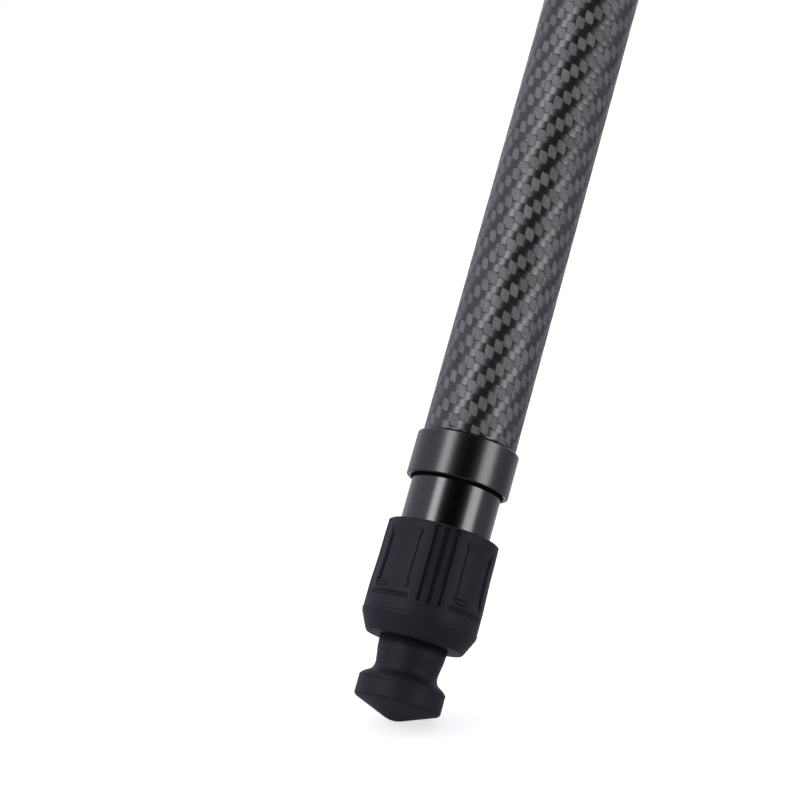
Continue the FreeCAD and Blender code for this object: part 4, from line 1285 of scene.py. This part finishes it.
def make_pin(leg):
    hinge = joints[leg + "_splay"]
    axis = Axis(hinge["pos_m"], hinge["axis"], world_up)
    radius, depth = axis.sizes("hinge_pins")
    near = (radius < AT_HINGE[0]) & (np.abs(depth) < AT_HINGE[1])
    head, reach = radius[near].max(), depth[near].max()
    step, inner = PIN_HEAD_EDGE, reach - PIN_HEAD_THICK
    half = [(1.0, reach - HEX_DEEP, 1), (1.0, reach - HEX_MOUTH_DEEP, 1), (HEX_MOUTH, reach, 1),
            (head - step, reach, 0), (head - step * ARC_SHARE, reach - step * ARC_SHARE, 0),
            (head, reach - step, 0), (head, inner + PIN_BACK_EDGE, 0), (head - PIN_BACK_EDGE, inner, 0)]
    both = half + [(value, -where, kind) for value, where, kind in reversed(half)]
    angle = round_angles(PIN_STEPS)
    hexagon = HEX_HALF / np.cos((angle + math.pi / 6) % (math.pi / 3) - math.pi / 6)
    rings = [axis.place(value * (hexagon if kind else 1.0), angle, where) for value, where, kind in both]
    ring_piece(leg + "_pin", np.stack(rings), TURNED_STEEL, "hinge_pins", sharp=30, poles=(True, True))


for leg in LEGS:
    make_pin(leg)

# %% [markdown]
# ## Camera screw
#
# The screw that holds the camera has a quarter-inch thread with twenty turns to the inch. A
# thread is a radius that depends on the depth less the angle's share of one pitch, so the ridge
# climbs one pitch for each turn. The crest is flattened and the ridge fades out at both ends.

# %% Thread and screw
SCREW_RADIUS, SCREW_PITCH, THREAD_DEEP = 3.175, 1.27, 0.55
SCREW_NECK, SCREW_HEAD, SCREW_EDGE = 2.6, 7.0, 0.3
SCREW_LONG, SCREW_HEAD_TALL = 5.0, 2.4
SCREW_STEPS, SCREW_RINGS, RING_GAP = 72, 84, 0.02
THREAD_STEEP, THREAD_FLAT, THREAD_FADE, TIP_BEVEL = 1.6, 0.25, 0.5, 0.3


def thread_radius(angle, height):
    """A ridge that climbs one pitch for each turn, with a flat crest and faded ends."""
    turn = (height / SCREW_PITCH - angle / (2 * math.pi)) % 1.0
    ridge = np.clip(THREAD_STEEP * (1 - np.abs(2 * turn - 1)) - THREAD_FLAT, 0, 1)
    fade = np.clip(height / THREAD_FADE, 0, 1) * np.clip((SCREW_LONG - height) / THREAD_FADE, 0, 1)
    return SCREW_RADIUS - THREAD_DEEP + THREAD_DEEP * ridge * fade


def make_camera_screw():
    node = "camera_screw"
    _, heights = up_axis.sizes(node)
    low, high = heights.min(), heights.max()
    head_top, seat = low + SCREW_HEAD_TALL, high - SCREW_LONG
    angle = round_angles(SCREW_STEPS)
    lower = rounded([(0.0, low), (SCREW_HEAD, low), (SCREW_HEAD, head_top), (SCREW_NECK, head_top),
                     (SCREW_NECK, seat)], SCREW_EDGE, False)[1:]
    height = np.linspace(seat + RING_GAP, high - RING_GAP, SCREW_RINGS)[:, None]
    rings = [up_axis.place(lower[:, :1], angle, lower[:, 1:]),
             up_axis.place(thread_radius(angle, height - seat), angle, height),
             up_axis.place(SCREW_RADIUS - THREAD_DEEP - TIP_BEVEL, angle, high)[None]]
    ring_piece(node + "_threaded", np.concatenate(rings), TURNED_STEEL, node, sharp=40, poles=(True, True))


make_camera_screw()

# %% [markdown]
# ## The rubber pad
#
# The plate's pad keeps the camera from turning, so it has fine cross grooves. It is one ring
# mesh again: each ring is a shape between the round hole and the outer rectangle, and the
# height follows a grid of shallow grooves across the top.

# %% Pad with grooves
PAD_HOLE, PAD_CORNER, PAD_EDGE = 3.7, 1.2, 0.15
PAD_GROOVE_STEP, PAD_GROOVE_DEEP, PAD_GROOVE_HALF, PAD_GROOVE_SOFT = 1.8, 0.22, 0.2, 0.2
PAD_STEPS, PAD_LAYERS, PAD_PLAIN = 480, 90, 12


def pad_groove(place):
    away = (place + PAD_GROOVE_STEP / 2) % PAD_GROOVE_STEP - PAD_GROOVE_STEP / 2
    return soft_box(away, PAD_GROOVE_HALF, PAD_GROOVE_SOFT)


def make_pad():
    node = "plate_pad"
    low, high = (np.array(corner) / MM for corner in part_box(node))
    half_x, half_y, _ = (high - low) / 2
    angle = round_angles(PAD_STEPS)
    outer = soft_minimum(half_x / np.maximum(np.abs(np.cos(angle)), 1e-6),
                         half_y / np.maximum(np.abs(np.sin(angle)), 1e-6), PAD_CORNER)
    share = np.linspace(0, 1, PAD_LAYERS)[:, None]
    radius = PAD_HOLE * (1 - share) + (outer - PAD_EDGE) * share
    wave = np.maximum(pad_groove(radius * np.cos(angle)), pad_groove(radius * np.sin(angle)))
    inside = np.clip(np.minimum(share, 1 - share) * PAD_PLAIN, 0, 1)
    rings = [up_axis.place(radius, angle, high[2] - PAD_GROOVE_DEEP * wave * inside)]
    for around, height in ((outer, high[2] - PAD_EDGE), (outer, low[2]), (PAD_HOLE, low[2])):
        rings.append(up_axis.place(around, angle, height)[None])
    ring_piece(node + "_grooved", np.concatenate(rings), RUBBER, node, sharp=50, looped=True)


make_pad()

# %% [markdown]
# ## Level and marks
#
# The level's vial lies in its groove with a bubble on top and two hair lines, and the head's
# base carries a ring of plain ticks that tell how far the head has panned.

# %% Bubble level
BUBBLE_HALF, BUBBLE_RADIUS, BUBBLE_GAP = 1.6, 1.15, 0.15
LINE_SPREAD, LINE_WIDE, LINE_RISE, LINE_SUNK = 2.4, 0.22, 0.03, 0.1
VIAL_EDGE = 0.7


def capsule(radius, half, steps=10):
    """Half the outline of a rod with round ends, from one end to the other."""
    turn = np.linspace(0, math.pi / 2, steps)
    near = np.stack([radius * np.sin(turn), -half - radius * np.cos(turn)], 1)
    return np.concatenate([near, near[::-1] * (1, -1)])


def make_level():
    node = "bubble_level"
    low, high = (np.array(corner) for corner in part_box(node))
    middle, (_, half, radius) = (low + high) / 2, (high - low) / 2 / MM
    axis = Axis(middle, (0, 1, 0), world_up)
    tube = rounded([(0.0, -half), (radius, -half), (radius, half), (0.0, half)], VIAL_EDGE, False, steps=6)
    turned_piece(node + "_vial", tube, False, axis, VIAL, node, steps=64)
    bubble_axis = Axis(middle + (radius - BUBBLE_RADIUS - BUBBLE_GAP) * MM * world_up, (0, 1, 0), world_up)
    turned_piece(node + "_bubble", capsule(BUBBLE_RADIUS, BUBBLE_HALF), False, bubble_axis, AIR, node,
                 steps=48, replace=False)
    for name, where in (("left", -LINE_SPREAD), ("right", LINE_SPREAD)):
        turned_ring("%s_line_%s" % (node, name), radius - LINE_SUNK, radius + LINE_RISE,
                    where - LINE_WIDE / 2, where + LINE_WIDE / 2, 0, axis, SHADE_AND_LINE_BLACK, node, steps=64,
                    replace=False)


make_level()

# %% Pan scale
TICKS, LONG_EVERY = 24, 6
TICK_WIDE, TICK_TALL, TICK_RISE, TICK_SUNK = 0.35, 2.2, 0.03, 0.05
LONG_TICK, TICK_BELOW_EDGE = 3.6, 0.8
BLOCK_FACES = np.array([(0, 1, 3, 2), (4, 6, 7, 5), (0, 2, 6, 4), (1, 5, 7, 3), (2, 3, 7, 6), (0, 4, 5, 1)])


def make_scale():
    """Thin marks on the round wall, each a block of eight corners."""
    radius, height = up_axis.sizes("head_base")
    wall = radius.max()
    top = height[radius > wall - SAME].max() - TICK_BELOW_EDGE
    points = []
    for index in range(TICKS):
        tall = TICK_TALL if index % LONG_EVERY else LONG_TICK
        middle, half = 2 * math.pi * index / TICKS, TICK_WIDE / 2 / wall
        points += [up_axis.place(ring, middle + side * half, depth) for depth in (top - tall, top)
                   for ring in (wall - TICK_SUNK, wall + TICK_RISE) for side in (-1, 1)]
    quads = np.concatenate([BLOCK_FACES + 8 * index for index in range(TICKS)])
    mesh = mesh_from_faces("pan_scale", np.array(points), quads)
    set_smooth(mesh, False)
    link_piece("pan_scale", mesh, PAINT_WHITE, "head_base", replace=False)


make_scale()

# %% [markdown]
# ## Pieces that stay as the CAD has them
#
# The split sleeves, the column's bush and the ball's seat lie inside and show only through
# their slots. Their CAD meshes are right, so they keep them and take a proper finish.

# %% Finish for the inner pieces
sleeves = ["%s_expander_%d" % (leg, number) for leg in LEGS for number in SECTIONS]
for node in sleeves + ["column_bush", "ball_seat"]:
    paint(frame["nodes"][node].data, NYLON)
